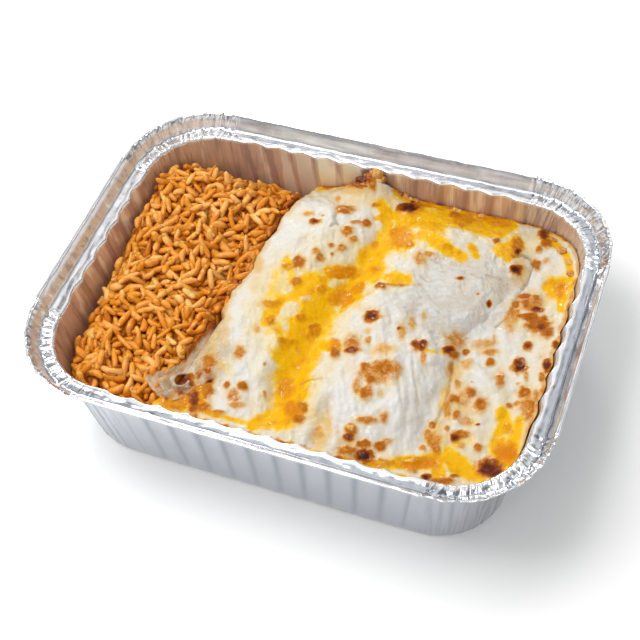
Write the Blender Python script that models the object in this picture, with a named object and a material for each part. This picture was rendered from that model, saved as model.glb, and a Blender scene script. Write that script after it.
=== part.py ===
"""Two cheese-covered enchiladas and a heap of rice, baked and served in a stamped foil tray.

Metres, +Z up. The origin is the middle of the tray's footprint, on the surface that it stands on.
+X runs along the tray's long side, from the rice towards the enchiladas, and +Y across it.
"""

import math
import random
from dataclasses import dataclass

import bmesh
import bpy
from mathutils import Matrix, Vector, noise

MM = 0.001

# The tray: one sheet of foil, drawn thicker than real foil so that it is a sound solid
FOIL = 0.5 * MM
LEDGE_HEIGHT = 50.5 * MM
OPENING_LENGTH = 201 * MM
OPENING_WIDTH = 143 * MM
OPENING_RADIUS = 28 * MM
BASE_INSET_LENGTHWAYS = 8.2 * MM
BASE_INSET_CROSSWAYS = 1.4 * MM
BASE_RADIUS = 27.5 * MM
BASE_FILLET = 3 * MM
LEDGE_WIDTH = 6 * MM
FLANGE_RUN = 4.2 * MM
FLANGE_RISE = 6 * MM
FLUTE_DEPTH = 1.3 * MM
LONG_SIDE_FLUTES = 11
SHORT_SIDE_FLUTES = 6
FLUTE_PITCH = 11.8 * MM
STEPS_PER_FLUTE = 4
FOOT_FLUTE_SHARE = 0.3
CORNER_STEPS = 9
HEM_THICKNESS = 1.1 * MM
HEM_RISE = 0.7 * MM
HEM_DROP_SHARE = 0.45
HEM_END_SHARE = 0.985

# Clearance between pieces that touch
GAP = 0.3 * MM

# The rice: its height in the middle and where it meets the walls, and how far from them it starts to sink
RICE_HEIGHT = 41 * MM
RICE_AT_LEFT_WALL = 35 * MM
RICE_LEFT_SLOPE = 0.22
RICE_LEFT_REACH = 15 * MM
RICE_AT_BACK_WALL = 20 * MM
RICE_IN_BACK_CORNER = 34 * MM
RICE_BACK_REACH = 19 * MM
RICE_BACK_POWER = 1.4
RICE_SINK_BY_ROLL = 3.5 * MM
GRAIN_LAYER = 1.6 * MM

# The cheese: its height between the rolls and at the walls, and its thickness over the rolls
VALLEY_HEIGHT = 42.5 * MM
CHEESE_AT_BACK_WALL = 36.3 * MM
CHEESE_BACK_REACH = 15 * MM
CHEESE_AT_RIGHT_WALL = 47 * MM
CHEESE_RIGHT_REACH = 14 * MM
CHEESE_SINK_BEHIND_ROLL = 5 * MM
CHEESE_FRONT_RISE = 2 * MM
CHEESE_THICKNESS = 2.6 * MM
THIN_CHEESE = 1.2 * MM
CHEESE_EDGE_INSET = 1.6 * MM
BARE_FLANK = 5.5 * MM
BLEND = 1.6 * MM

# The squares that a surface is made of
SURFACE_GRID = 5 * MM

# Where the right tortilla shows through the cheese
BARE_PATCH_CENTRE = (57 * MM, 20 * MM)
BARE_PATCH_RADII = (14.5 * MM, 22 * MM)
BARE_PATCH_STEPS = 24

# The thin lobe of cheese that lies over the rice
TONGUE_CENTRE = (-43.5 * MM, -54.5 * MM)
TONGUE_RADII = (14 * MM, 9 * MM)
TONGUE_WAVE = 0.10
TONGUE_THICKNESS = 2 * MM
TONGUE_CLEARANCE = 0.7 * MM
TONGUE_RISE_TO_SHEET = 3 * MM
TONGUE_SIDES = 20
TONGUE_RINGS = 3

# How far the blocks that are trimmed to the tray reach past it
BLOCK_REACH_X = 110 * MM
BLOCK_REACH_Y = 80 * MM
BLOCK_BOTTOM = -5 * MM

# The rice grains that show
GRAIN_COUNT = 102
GRAIN_PLACES_TRIED = 5000
GRAIN_TURNS_TRIED = 14
GRAIN_LENGTH = 9.0 * MM
GRAIN_LENGTH_SPREAD = (0.82, 1.1)
GRAIN_SHRINK = 0.97
GRAIN_THICKNESS = 2.7 * MM
GRAIN_BEND = 0.06
GRAIN_SIDES = 5
GRAIN_RINGS = ((0.2, 0.84), (0.5, 1.0), (0.8, 0.84))
GRAIN_LIFT = 0.8 * MM
GRAIN_PITCH = 0.22
GRAIN_SPACING = 5.8 * MM
GRAIN_FIELD_X = (-99 * MM, -34 * MM)
GRAIN_FIELD_Y = (-70 * MM, 70 * MM)


def smooth_step(low, high, value):
    """0 below low, 1 above high and an even ease between them."""
    share = min(1.0, max(0.0, (value - low) / (high - low)))
    return share * share * (3 - 2 * share)


def fall_off(distance, reach, power=1.6):
    """1 at no distance, falling to 0 at reach."""
    return max(0.0, 1 - max(0.0, distance) / reach) ** power


def smooth_max(values, blend=BLEND):
    """The largest value, eased where two are nearly equal."""
    top = max(values)
    return top + blend * math.log(sum(math.exp((value - top) / blend) for value in values))


def ripple(x, y, size, seed):
    """Smooth unevenness from -1 to 1."""
    return noise.noise(Vector((x / size, y / size, seed)))


@dataclass(frozen=True)
class Hill:
    """A rounded rise of a surface, or a dip where its height is negative, all in millimetres."""

    x: float
    y: float
    radius_x: float
    radius_y: float
    height: float

    def rise(self, x, y):
        across = (x / MM - self.x) / self.radius_x
        along = (y / MM - self.y) / self.radius_y
        return self.height * MM * math.exp(-(across**2) - along**2)


HEAP_BY_BACK_CORNER = Hill(-82, 35, 20, 30, 2)
BROWNED_CRUST = Hill(-1.5, 67.5, 12, 8.5, 11)
CRUMB_AGAINST_LEDGE = Hill(1.5, 70, 4.5, 3.5, 8.5)
FRONT_FOLD_LEFT = Hill(14, -60, 9, 9, 2.2)
FRONT_CREASE = Hill(22, -58, 3, 12, -1.6)
FRONT_FOLD_RIGHT = Hill(33, -62, 7, 8, 1.6)
SWELLING_BY_RIGHT_WALL = Hill(86, 18, 9, 8, 1.2)
CHEESE_HILLS = (
    BROWNED_CRUST,
    CRUMB_AGAINST_LEDGE,
    FRONT_FOLD_LEFT,
    FRONT_CREASE,
    FRONT_FOLD_RIGHT,
    SWELLING_BY_RIGHT_WALL,
)


@dataclass(frozen=True)
class RimStep:
    """One place round the tray: on a side at a share of its straight stretch, or on a corner at an angle."""

    quarter: int
    share: float = 0.0
    angle: float = 0.0
    flute: float = 0.0
    hem: float = 0.0


@dataclass(frozen=True)
class RoundedRectangle:
    """A level outline of the tray."""

    half_x: float
    half_y: float
    radius: float

    def grown(self, distance):
        return RoundedRectangle(self.half_x + distance, self.half_y + distance, self.radius + distance)

    def at(self, step, outset=0.0):
        """The (x, y) of a rim step, moved outwards by outset."""
        turn = step.quarter * math.pi / 2
        outward = Vector((math.cos(turn), math.sin(turn)))
        along = Vector((-outward.y, outward.x))
        reach, half_side = (self.half_x, self.half_y) if step.quarter % 2 == 0 else (self.half_y, self.half_x)
        straight = half_side - self.radius
        normal = outward * math.cos(step.angle) + along * math.sin(step.angle)
        centre = outward * (reach - self.radius) + along * (straight * step.share)
        return centre + normal * (self.radius + outset)

    def depth(self, x, y):
        """How far (x, y) lies inside the outline."""
        side_x = abs(x) - (self.half_x - self.radius)
        side_y = abs(y) - (self.half_y - self.radius)
        if side_x > 0 and side_y > 0:
            return self.radius - math.hypot(side_x, side_y)
        return self.radius - max(side_x, side_y)


OPENING = RoundedRectangle(OPENING_LENGTH / 2, OPENING_WIDTH / 2, OPENING_RADIUS)


def wall_outline(height):
    """The inner wall's outline at a height: it narrows evenly from the opening to the base."""
    share = 1 - min(1.0, height / LEDGE_HEIGHT)
    return RoundedRectangle(
        OPENING.half_x - BASE_INSET_LENGTHWAYS * share,
        OPENING.half_y - BASE_INSET_CROSSWAYS * share,
        OPENING.radius + (BASE_RADIUS - OPENING.radius) * share,
    )


def side_steps(quarter, straight, flutes):
    """The rim steps along one side: its flutes, with the ends of its hemmed flap."""
    first = -flutes * FLUTE_PITCH / 2 / straight
    count = flutes * STEPS_PER_FLUTE
    steps = [RimStep(quarter, -1.0), RimStep(quarter, -HEM_END_SHARE, hem=1.0)]
    for index in range(count + 1):
        flute = abs(math.sin(math.pi * index / STEPS_PER_FLUTE))
        steps.append(RimStep(quarter, first * (1 - 2 * index / count), flute=flute, hem=1.0))
    return steps + [RimStep(quarter, HEM_END_SHARE, hem=1.0), RimStep(quarter, 1.0)]


def rim_steps():
    """Every rim step, counter-clockwise."""
    steps = []
    for quarter in range(4):
        is_short = quarter % 2 == 0
        straight = (OPENING.half_y if is_short else OPENING.half_x) - OPENING.radius
        steps += side_steps(quarter, straight, SHORT_SIDE_FLUTES if is_short else LONG_SIDE_FLUTES)
        for index in range(1, CORNER_STEPS):
            steps.append(RimStep(quarter, 1.0, angle=math.pi / 2 * index / CORNER_STEPS))
    return steps


def plain_steps():
    """Rim steps for an unfluted outline: corners only, because its sides are straight."""
    return [
        RimStep(quarter, 1.0, angle=math.pi / 2 * index / CORNER_STEPS)
        for quarter in range(4)
        for index in range(CORNER_STEPS + 1)
    ]


def material(name, color, roughness, metallic=0.0):
    made = bpy.data.materials.new(name)
    made.use_nodes = True
    shader = made.node_tree.nodes["Principled BSDF"]
    shader.inputs["Base Color"].default_value = (*color, 1.0)
    shader.inputs["Roughness"].default_value = roughness
    shader.inputs["Metallic"].default_value = metallic
    return made


def object_from(mesh, name):
    made = bpy.data.objects.new(name, mesh)
    bpy.context.scene.collection.objects.link(made)
    return made


def skin(rings, name):
    """A closed solid through rings of equal length, capped by its first and last."""
    mesh = bmesh.new()
    rows = [[mesh.verts.new(point) for point in ring] for ring in rings]
    for lower, upper in zip(rows, rows[1:]):
        for index in range(len(lower)):
            after = (index + 1) % len(lower)
            mesh.faces.new((lower[index], lower[after], upper[after], upper[index]))
    mesh.faces.new(list(reversed(rows[0])))
    mesh.faces.new(rows[-1])
    bmesh.ops.recalc_face_normals(mesh, faces=mesh.faces)
    data = bpy.data.meshes.new(name)
    mesh.to_mesh(data)
    mesh.free()
    return object_from(data, name)


def height_block(name, left, right, top):
    """A block, larger than the tray, between x = left(y) and x = right(y), whose top follows top(x, y)."""
    columns = round((right(0) - left(0)) / SURFACE_GRID)
    rows = round(2 * BLOCK_REACH_Y / SURFACE_GRID)
    mesh = bmesh.new()
    upper, lower = [], []
    for row in range(rows + 1):
        y = BLOCK_REACH_Y * (2 * row / rows - 1)
        places = [left(y) + (right(y) - left(y)) * column / columns for column in range(columns + 1)]
        upper.append([mesh.verts.new((x, y, top(x, y))) for x in places])
        lower.append([mesh.verts.new((x, y, BLOCK_BOTTOM)) for x in places])
    for row in range(rows):
        for column in range(columns):
            corners = ((row, column), (row, column + 1), (row + 1, column + 1), (row + 1, column))
            mesh.faces.new([upper[r][c] for r, c in corners])
            mesh.faces.new([lower[r][c] for r, c in reversed(corners)])
    outline = [(0, c) for c in range(columns)]
    outline += [(r, columns) for r in range(rows)]
    outline += [(rows, c) for c in range(columns, 0, -1)]
    outline += [(r, 0) for r in range(rows, 0, -1)]
    for (r, c), (next_r, next_c) in zip(outline, outline[1:] + outline[:1]):
        mesh.faces.new((lower[r][c], lower[next_r][next_c], upper[next_r][next_c], upper[r][c]))
    bmesh.ops.triangulate(mesh, faces=mesh.faces)
    data = bpy.data.meshes.new(name)
    mesh.to_mesh(data)
    mesh.free()
    return object_from(data, name)


def apply_boolean(target, operation, other, solver="EXACT"):
    """Cuts, keeps or joins with another object, or with a collection, and removes what it used."""
    modifier = target.modifiers.new(operation.lower(), "BOOLEAN")
    modifier.operation = operation
    modifier.solver = solver
    if isinstance(other, bpy.types.Collection):
        modifier.operand_type = "COLLECTION"
        modifier.collection = other
        used = list(other.objects)
    else:
        modifier.object = other
        used = [other]
    graph = bpy.context.evaluated_depsgraph_get()
    applied = bpy.data.meshes.new_from_object(target.evaluated_get(graph))
    target.modifiers.clear()
    target.data = applied
    for piece in used:
        bpy.data.objects.remove(piece)
    if isinstance(other, bpy.types.Collection):
        bpy.data.collections.remove(other)


def keep_largest_body(target):
    """Drops loose scraps, and fills hollows that joining has sealed, by keeping the largest shell."""
    mesh = bmesh.new()
    mesh.from_mesh(target.data)
    mesh.faces.ensure_lookup_table()
    unseen = set(mesh.faces)
    shells = []
    while unseen:
        shell, edge_of_shell = set(), [unseen.pop()]
        while edge_of_shell:
            face = edge_of_shell.pop()
            shell.add(face)
            near = {other for edge in face.edges for other in edge.link_faces} & unseen
            unseen -= near
            edge_of_shell.extend(near)
        shells.append(shell)
    largest = max(shells, key=len)
    bmesh.ops.delete(mesh, geom=[face for face in mesh.faces if face not in largest], context="FACES")
    bmesh.ops.triangulate(mesh, faces=mesh.faces)
    mesh.to_mesh(target.data)
    mesh.free()


def make_tray():
    """The foil tray as one folded sheet: base, fluted walls, ledge, flared flange and hemmed flaps."""
    steps = rim_steps()
    flange = OPENING.grown(LEDGE_WIDTH)
    hem_foot = 1 - HEM_DROP_SHARE

    def ring(outline, height, outset=0.0, flute_share=0.0, hem_outset=0.0, hem_rise=0.0):
        points = []
        for step in steps:
            place = outline.at(step, outset + FLUTE_DEPTH * flute_share * step.flute + hem_outset * step.hem)
            points.append((place.x, place.y, height + hem_rise * step.hem))
        return points

    def bowl(skin_outset, lift):
        """Rings from the base's edge to the top of the wall, for either face of the foil."""
        foot = FOIL + BASE_FILLET
        return [
            ring(wall_outline(0), FOIL + lift, skin_outset - BASE_FILLET),
            ring(wall_outline(0), FOIL + BASE_FILLET * 0.3 + lift * 0.7, skin_outset - BASE_FILLET * 0.3),
            ring(wall_outline(foot), foot, skin_outset, FOOT_FLUTE_SHARE),
            ring(OPENING, LEDGE_HEIGHT + lift, skin_outset, 1.0),
        ]

    inside = bowl(0.0, 0.0) + [
        ring(flange, LEDGE_HEIGHT),
        ring(flange, LEDGE_HEIGHT + FLANGE_RISE, FLANGE_RUN, hem_rise=HEM_RISE),
    ]
    fold = FLANGE_RUN * hem_foot, FLANGE_RISE * hem_foot
    outside = [
        ring(flange, LEDGE_HEIGHT + FLANGE_RISE, FLANGE_RUN + FOIL, 0.0, HEM_THICKNESS - FOIL, HEM_RISE),
        ring(flange, LEDGE_HEIGHT + fold[1] - FOIL, fold[0] + FOIL, 0.0, HEM_THICKNESS - FOIL),
        ring(flange, LEDGE_HEIGHT + fold[1] - 2 * FOIL, fold[0] + FOIL * 0.7),
        ring(flange, LEDGE_HEIGHT - FOIL, FOIL),
    ]
    tray = skin(inside + outside + list(reversed(bowl(FOIL, -FOIL))), "foil_tray")
    tray.data.materials.append(material("foil", (0.80, 0.81, 0.83), 0.28, 1.0))
    return tray


def make_cavity():
    """The room inside the tray that food may fill, a gap clear of the foil."""
    steps = plain_steps()

    def ring(outline, height, inset):
        return [(*outline.at(step, -inset), height) for step in steps]

    foot = FOIL + BASE_FILLET
    return skin(
        [
            ring(wall_outline(0), FOIL + GAP, BASE_FILLET + GAP),
            ring(wall_outline(foot), foot + GAP, GAP),
            ring(OPENING, LEDGE_HEIGHT, GAP),
            ring(OPENING, LEDGE_HEIGHT + FLANGE_RISE, GAP),
        ],
        "cavity",
    )


@dataclass(frozen=True)
class Roll:
    """One rolled tortilla: a squashed tunnel that lies across the tray, leaning a little."""

    name: str
    middle: float
    half_width: float
    back_widening: float
    height: float
    squareness: float
    lean: float = 0.125
    half_length: float = 62 * MM
    shoulder: float = 22 * MM
    back_drop: float = 15 * MM
    front_drop: float = 8 * MM
    end_squareness: float = 7.0
    section_sides: int = 14
    sections: int = 14

    def widening(self, y):
        """How much wider it is on its right towards the back, shared between centre and half width."""
        return self.back_widening / 2 * smooth_step(-5 * MM, 25 * MM, y)

    def centre(self, y):
        return self.middle + self.lean * y + self.widening(y)

    def side(self, y):
        """The half width before the ends round off."""
        return self.half_width + self.widening(y)

    def crest(self, y):
        """The height of its ridge, which sinks towards both ends."""
        inside = (self.half_length - abs(y)) / (20 * MM)
        drop = self.back_drop if y > 0 else self.front_drop
        return self.height - drop * (1 - smooth_step(-0.5, 1.0, inside))

    def end_share(self, y):
        """The share of its width that is left where the ends round off."""
        along = min(1.0, abs(y) / self.half_length)
        return max(0.72, (1 - along**self.end_squareness) ** (1 / self.end_squareness))

    def top(self, x, y, cover):
        """The height of a cover of even thickness over it."""
        across = min(1.0, abs(x - self.centre(y)) / (self.side(y) + cover))
        crown = (1 - across**self.squareness) ** (1 / self.squareness)
        return self.shoulder + (self.crest(y) + cover - self.shoulder) * crown

    def solid(self, name, margin=0.0):
        """The tunnel from end to end, grown by margin."""
        floor = FOIL + GAP - margin
        rings = []
        for section in range(self.sections + 1):
            along = -math.cos(math.pi * section / self.sections)
            y = along * (self.half_length - GAP)
            half = self.side(y) * self.end_share(y) + margin
            rise = self.crest(y) - self.shoulder + margin
            row = [(self.centre(y) + half, floor), (self.centre(y) - half, floor)]
            for index in range(self.section_sides + 1):
                angle = math.pi * (1 - index / self.section_sides)
                bow = math.copysign(abs(math.cos(angle)) ** (2 / self.squareness), math.cos(angle))
                up = abs(math.sin(angle)) ** (2 / self.squareness)
                row.append((self.centre(y) + half * bow, self.shoulder + rise * up))
            shifted = y + math.copysign(margin, along) if section in (0, self.sections) else y
            rings.append([(x, shifted, z) for x, z in row])
        return skin(rings, name)


LEFT_ROLL = Roll("enchilada_left", -16.6 * MM, 23.8 * MM, 0.0, 45.5 * MM, 2.7)
RIGHT_ROLL = Roll("enchilada_right", 37.0 * MM, 28.6 * MM, 10 * MM, 47.5 * MM, 3.1)
ROLLS = (LEFT_ROLL, RIGHT_ROLL)


def rice_edge(y):
    """Where the heap meets the left roll."""
    return LEFT_ROLL.centre(y) - LEFT_ROLL.side(y) - GAP


def cheese_edge(y):
    """The cheese's left edge: it leaves part of the left roll's flank bare towards the front."""
    bare = BARE_FLANK * smooth_step(-12 * MM, -24 * MM, y) * smooth_step(-66 * MM, -46 * MM, y)
    return rice_edge(y) + CHEESE_EDGE_INSET + bare


def rice_top(x, y):
    """The heap with its loose grains: high at the back left corner, low along the walls."""
    left = OPENING.half_x + x
    back = OPENING.half_y - y
    height = RICE_HEIGHT + HEAP_BY_BACK_CORNER.rise(x, y)
    height -= RICE_SINK_BY_ROLL * smooth_step(-62 * MM, -46 * MM, x) * smooth_step(-40 * MM, -10 * MM, y)
    at_left = RICE_AT_LEFT_WALL + RICE_LEFT_SLOPE * min(y, 45 * MM)
    height += (at_left - height) * fall_off(left, RICE_LEFT_REACH)
    at_back = RICE_AT_BACK_WALL
    at_back += (RICE_IN_BACK_CORNER - RICE_AT_BACK_WALL) * smooth_step(-66 * MM, -92 * MM, x)
    height += (at_back - height) * fall_off(back, RICE_BACK_REACH, RICE_BACK_POWER)
    return height + 0.9 * MM * ripple(x, y, 9 * MM, 3.1) + 0.5 * MM * ripple(x, y, 4.5 * MM, 8.7)


def core_top(x, y):
    """The rice under the layer of loose grains."""
    return rice_top(x, y) - GRAIN_LAYER


def patch_distance(x, y):
    """1 on the outline of the bare tortilla patch, less inside it and more outside."""
    across = (x - BARE_PATCH_CENTRE[0]) / BARE_PATCH_RADII[0]
    along = (y - BARE_PATCH_CENTRE[1]) / BARE_PATCH_RADII[1]
    return math.hypot(across, along)


def cheese_cover(x, y):
    """The cheese's thickness over the rolls: thin round the bare patch."""
    return THIN_CHEESE + (CHEESE_THICKNESS - THIN_CHEESE) * smooth_step(0.95, 1.5, patch_distance(x, y))


def cheese_top(x, y):
    """The melted cheese: draped over both rolls, pooled between and beside them."""
    back = OPENING.half_y - y
    right = OPENING.half_x - x
    pool = VALLEY_HEIGHT + (CHEESE_AT_BACK_WALL - VALLEY_HEIGHT) * fall_off(back, CHEESE_BACK_REACH)
    climb = (CHEESE_AT_RIGHT_WALL - VALLEY_HEIGHT) * fall_off(right, CHEESE_RIGHT_REACH)
    pool += climb * smooth_step(56 * MM, 24 * MM, y)
    pool -= CHEESE_SINK_BEHIND_ROLL * smooth_step(5 * MM, -25 * MM, x) * smooth_step(48 * MM, 62 * MM, y)
    pool += CHEESE_FRONT_RISE * smooth_step(-52 * MM, -68 * MM, y)
    cover = cheese_cover(x, y)
    height = smooth_max([pool] + [roll.top(x, y, cover) for roll in ROLLS])
    height += sum(hill.rise(x, y) for hill in CHEESE_HILLS)
    return height + 0.7 * MM * ripple(x, y, 17 * MM, 1.4) + 0.35 * MM * ripple(x, y, 8 * MM, 6.2)


def make_roll(roll):
    made = roll.solid(roll.name)
    made.data.materials.append(material("tortilla", (0.80, 0.70, 0.52), 0.6))
    return made


def make_patch_cutter():
    """An upright oval post where the cheese leaves the tortilla bare."""
    rings = []
    for height in (RIGHT_ROLL.shoulder, LEDGE_HEIGHT + FLANGE_RISE):
        ring = []
        for step in range(BARE_PATCH_STEPS):
            angle = math.tau * step / BARE_PATCH_STEPS
            reach = 1 + 0.07 * math.sin(2 * angle + 0.5) + 0.05 * math.sin(5 * angle)
            x = BARE_PATCH_CENTRE[0] + BARE_PATCH_RADII[0] * reach * math.cos(angle)
            y = BARE_PATCH_CENTRE[1] + BARE_PATCH_RADII[1] * reach * math.sin(angle)
            ring.append((x, y, height))
        rings.append(ring)
    return skin(rings, "patch_cutter")


def make_cheese():
    """The sheet of melted cheese with the pools beside the rolls, and a thin tongue of it over the rice."""
    cheese = height_block("melted_cheese", cheese_edge, lambda y: BLOCK_REACH_X, cheese_top)
    apply_boolean(cheese, "UNION", make_tongue())
    apply_boolean(cheese, "INTERSECT", make_cavity())
    for roll in ROLLS:
        apply_boolean(cheese, "DIFFERENCE", roll.solid("pocket", GAP))
    apply_boolean(cheese, "DIFFERENCE", make_patch_cutter())
    keep_largest_body(cheese)
    cheese.data.materials.append(material("melted_cheese", (0.88, 0.80, 0.62), 0.35))
    return cheese


def tongue_bed(x, y):
    """The underside of the cheese tongue, lying close over the rice."""
    rise = TONGUE_RISE_TO_SHEET * smooth_step(-50 * MM, -38 * MM, x)
    return rice_top(x, y) + TONGUE_CLEARANCE + rise


def make_tongue():
    """A wavy lobe of thin cheese that runs from the sheet out over the rice."""
    mesh = bmesh.new()
    layers = []
    for lift in (0.0, TONGUE_THICKNESS):
        rings = []
        for ring in range(1, TONGUE_RINGS + 1):
            row = []
            for side in range(TONGUE_SIDES):
                angle = math.tau * side / TONGUE_SIDES
                reach = ring / TONGUE_RINGS * (1 + TONGUE_WAVE * math.sin(3 * angle + 0.6))
                x = TONGUE_CENTRE[0] + TONGUE_RADII[0] * reach * math.cos(angle)
                y = TONGUE_CENTRE[1] + TONGUE_RADII[1] * reach * math.sin(angle)
                thinned = lift * (0.6 if ring == TONGUE_RINGS else 1.0)
                row.append(mesh.verts.new((x, y, tongue_bed(x, y) + thinned)))
            rings.append(row)
        middle = mesh.verts.new((*TONGUE_CENTRE, tongue_bed(*TONGUE_CENTRE) + lift))
        layers.append((middle, rings))
    for middle, rings in layers:
        for side in range(TONGUE_SIDES):
            after = (side + 1) % TONGUE_SIDES
            mesh.faces.new((middle, rings[0][side], rings[0][after]))
            for inner, outer in zip(rings, rings[1:]):
                mesh.faces.new((inner[side], outer[side], outer[after], inner[after]))
    lower_edge, upper_edge = layers[0][1][-1], layers[1][1][-1]
    for side in range(TONGUE_SIDES):
        after = (side + 1) % TONGUE_SIDES
        mesh.faces.new((lower_edge[side], lower_edge[after], upper_edge[after], upper_edge[side]))
    bmesh.ops.recalc_face_normals(mesh, faces=mesh.faces)
    bmesh.ops.triangulate(mesh, faces=mesh.faces)
    data = bpy.data.meshes.new("tongue")
    mesh.to_mesh(data)
    mesh.free()
    return object_from(data, "tongue")


def grain_points(centre, turn, length, thickness):
    """The rings of one slightly curved grain, and its two tips."""
    tips, rings = [], []
    for share, width in ((0.0, 0.0), *GRAIN_RINGS, (1.0, 0.0)):
        along = (share - 0.5) * length
        sag = -GRAIN_BEND * length * (2 * share - 1) ** 2
        ring = []
        for side in range(GRAIN_SIDES if width else 1):
            angle = math.tau * side / GRAIN_SIDES
            radius = width * thickness / 2
            ring.append(centre + turn @ Vector((along, sag + radius * math.cos(angle), radius * math.sin(angle))))
        (rings if width else tips).append(ring)
    return tips, rings


def grain_object(tips, rings):
    mesh = bmesh.new()
    rows = [[mesh.verts.new(point) for point in ring] for ring in rings]
    ends = [mesh.verts.new(tip[0]) for tip in tips]
    for side in range(GRAIN_SIDES):
        after = (side + 1) % GRAIN_SIDES
        mesh.faces.new((ends[0], rows[0][side], rows[0][after]))
        mesh.faces.new((ends[1], rows[-1][after], rows[-1][side]))
        for lower, upper in zip(rows, rows[1:]):
            mesh.faces.new((lower[side], upper[side], upper[after], lower[after]))
    bmesh.ops.recalc_face_normals(mesh, faces=mesh.faces)
    data = bpy.data.meshes.new("grain")
    mesh.to_mesh(data)
    mesh.free()
    return bpy.data.objects.new("grain", data)


def clear_of_neighbours(point):
    """Whether a point of a grain is clear of the tray, the left roll, the cheese and its tongue."""
    if wall_outline(point.z).depth(point.x, point.y) < 2 * GAP:
        return False
    if point.x > rice_edge(point.y) - GAP:
        return False
    widest = 1.04 + TONGUE_WAVE
    across = (point.x - TONGUE_CENTRE[0]) / (TONGUE_RADII[0] * widest + GAP)
    along = (point.y - TONGUE_CENTRE[1]) / (TONGUE_RADII[1] * widest + GAP)
    return across**2 + along**2 > 1


def surface_turn(x, y, heading, pitch):
    """A rotation whose X axis lies along the heap's surface, tipped by pitch."""
    reach = 2 * MM
    slope_x = (rice_top(x + reach, y) - rice_top(x - reach, y)) / (2 * reach)
    slope_y = (rice_top(x, y + reach) - rice_top(x, y - reach)) / (2 * reach)
    climb = slope_x * math.cos(heading) + slope_y * math.sin(heading)
    return Matrix.Rotation(heading, 3, "Z") @ Matrix.Rotation(-math.atan(climb) - pitch, 3, "Y")


def make_rice():
    """The heap of rice: a core with the larger loose grains fused on top, spread evenly."""
    rice = height_block("rice", lambda y: -BLOCK_REACH_X, rice_edge, core_top)
    apply_boolean(rice, "INTERSECT", make_cavity())
    apply_boolean(rice, "DIFFERENCE", LEFT_ROLL.solid("pocket", GAP))
    draw = random.Random(20)
    grains = bpy.data.collections.new("grains")
    placed = []
    for _ in range(GRAIN_PLACES_TRIED):
        if len(placed) == GRAIN_COUNT:
            break
        x = draw.uniform(*GRAIN_FIELD_X)
        y = draw.uniform(*GRAIN_FIELD_Y)
        if any(math.hypot(x - other[0], y - other[1]) < GRAIN_SPACING for other in placed):
            continue
        length = GRAIN_LENGTH * draw.uniform(*GRAIN_LENGTH_SPREAD)
        for _ in range(GRAIN_TURNS_TRIED):
            turn = surface_turn(x, y, draw.uniform(0, math.tau), draw.gauss(0, GRAIN_PITCH))
            centre = Vector((x, y, core_top(x, y) + GRAIN_LIFT))
            tips, rings = grain_points(centre, turn, length, GRAIN_THICKNESS)
            if all(clear_of_neighbours(point) for row in (*tips, *rings) for point in row):
                grains.objects.link(grain_object(tips, rings))
                placed.append((x, y))
                break
            length *= GRAIN_SHRINK
    apply_boolean(rice, "UNION", grains)
    keep_largest_body(rice)
    rice.data.materials.append(material("rice", (0.72, 0.33, 0.07), 0.5))
    return rice


def main():
    for leftover in list(bpy.data.objects):
        bpy.data.objects.remove(leftover)
    make_tray()
    for roll in ROLLS:
        make_roll(roll)
    make_cheese()
    make_rice()


main()
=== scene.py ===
"""Dresses the foil tray of enchiladas: crinkled foil, rice, melted cheese, tortilla, crumbs and light.

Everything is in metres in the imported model's frame, +Z up. The tray's middle is the origin, the rice
fills the -X end and the enchiladas the +X end, and +Y is the side with the browned crust.
"""

from __future__ import annotations

import logging
import math
from collections.abc import Callable, Iterable, Sequence
from dataclasses import dataclass, field
from enum import Enum

import bpy
import numpy as np
from mathutils import Matrix, Vector, noise

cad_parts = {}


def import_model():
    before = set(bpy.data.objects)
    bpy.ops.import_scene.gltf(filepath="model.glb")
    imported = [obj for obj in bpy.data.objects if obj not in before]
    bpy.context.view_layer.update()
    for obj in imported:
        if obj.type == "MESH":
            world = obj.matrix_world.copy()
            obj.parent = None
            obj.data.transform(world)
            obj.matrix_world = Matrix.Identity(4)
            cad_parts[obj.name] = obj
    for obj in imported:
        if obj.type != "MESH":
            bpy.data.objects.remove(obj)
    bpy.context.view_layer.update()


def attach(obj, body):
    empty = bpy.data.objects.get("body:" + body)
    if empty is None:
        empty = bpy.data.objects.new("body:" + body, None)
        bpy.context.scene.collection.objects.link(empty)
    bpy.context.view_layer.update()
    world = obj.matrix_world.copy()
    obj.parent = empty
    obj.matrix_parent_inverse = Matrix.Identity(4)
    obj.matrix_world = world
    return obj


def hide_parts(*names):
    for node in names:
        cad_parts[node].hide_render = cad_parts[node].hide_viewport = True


MM = 0.001
FOOD_FLOOR = 0.9 * MM
LOG = logging.getLogger("enchiladas")

Array = np.ndarray
Colour = tuple[float, float, float]
Height = Callable[[Array, Array], Array]


def smooth_step(low: float, high: float, value: Array) -> Array:
    """Eases from 0 at low to 1 at high, which may be less than low."""
    share = np.clip((value - low) / (high - low), 0.0, 1.0)
    return share * share * (3 - 2 * share)


def quarter_round(share: Array) -> Array:
    """Rises from 0 at 0 to 1 at 1 along a quarter circle."""
    return np.sqrt(np.clip(1 - (1 - np.clip(share, 0, 1)) ** 2, 0, 1))


def fall_off(distance: Array, reach: float, power: float = 1.6) -> Array:
    """1 at no distance, falling to 0 at reach."""
    return np.clip(1 - np.maximum(distance, 0.0) / reach, 0.0, 1.0) ** power


def smooth_max(values: Sequence[Array], blend: float) -> Array:
    """The largest value, eased where two are nearly equal."""
    top = np.maximum.reduce(values)
    return top + blend * np.log(sum(np.exp((value - top) / blend) for value in values))


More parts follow.
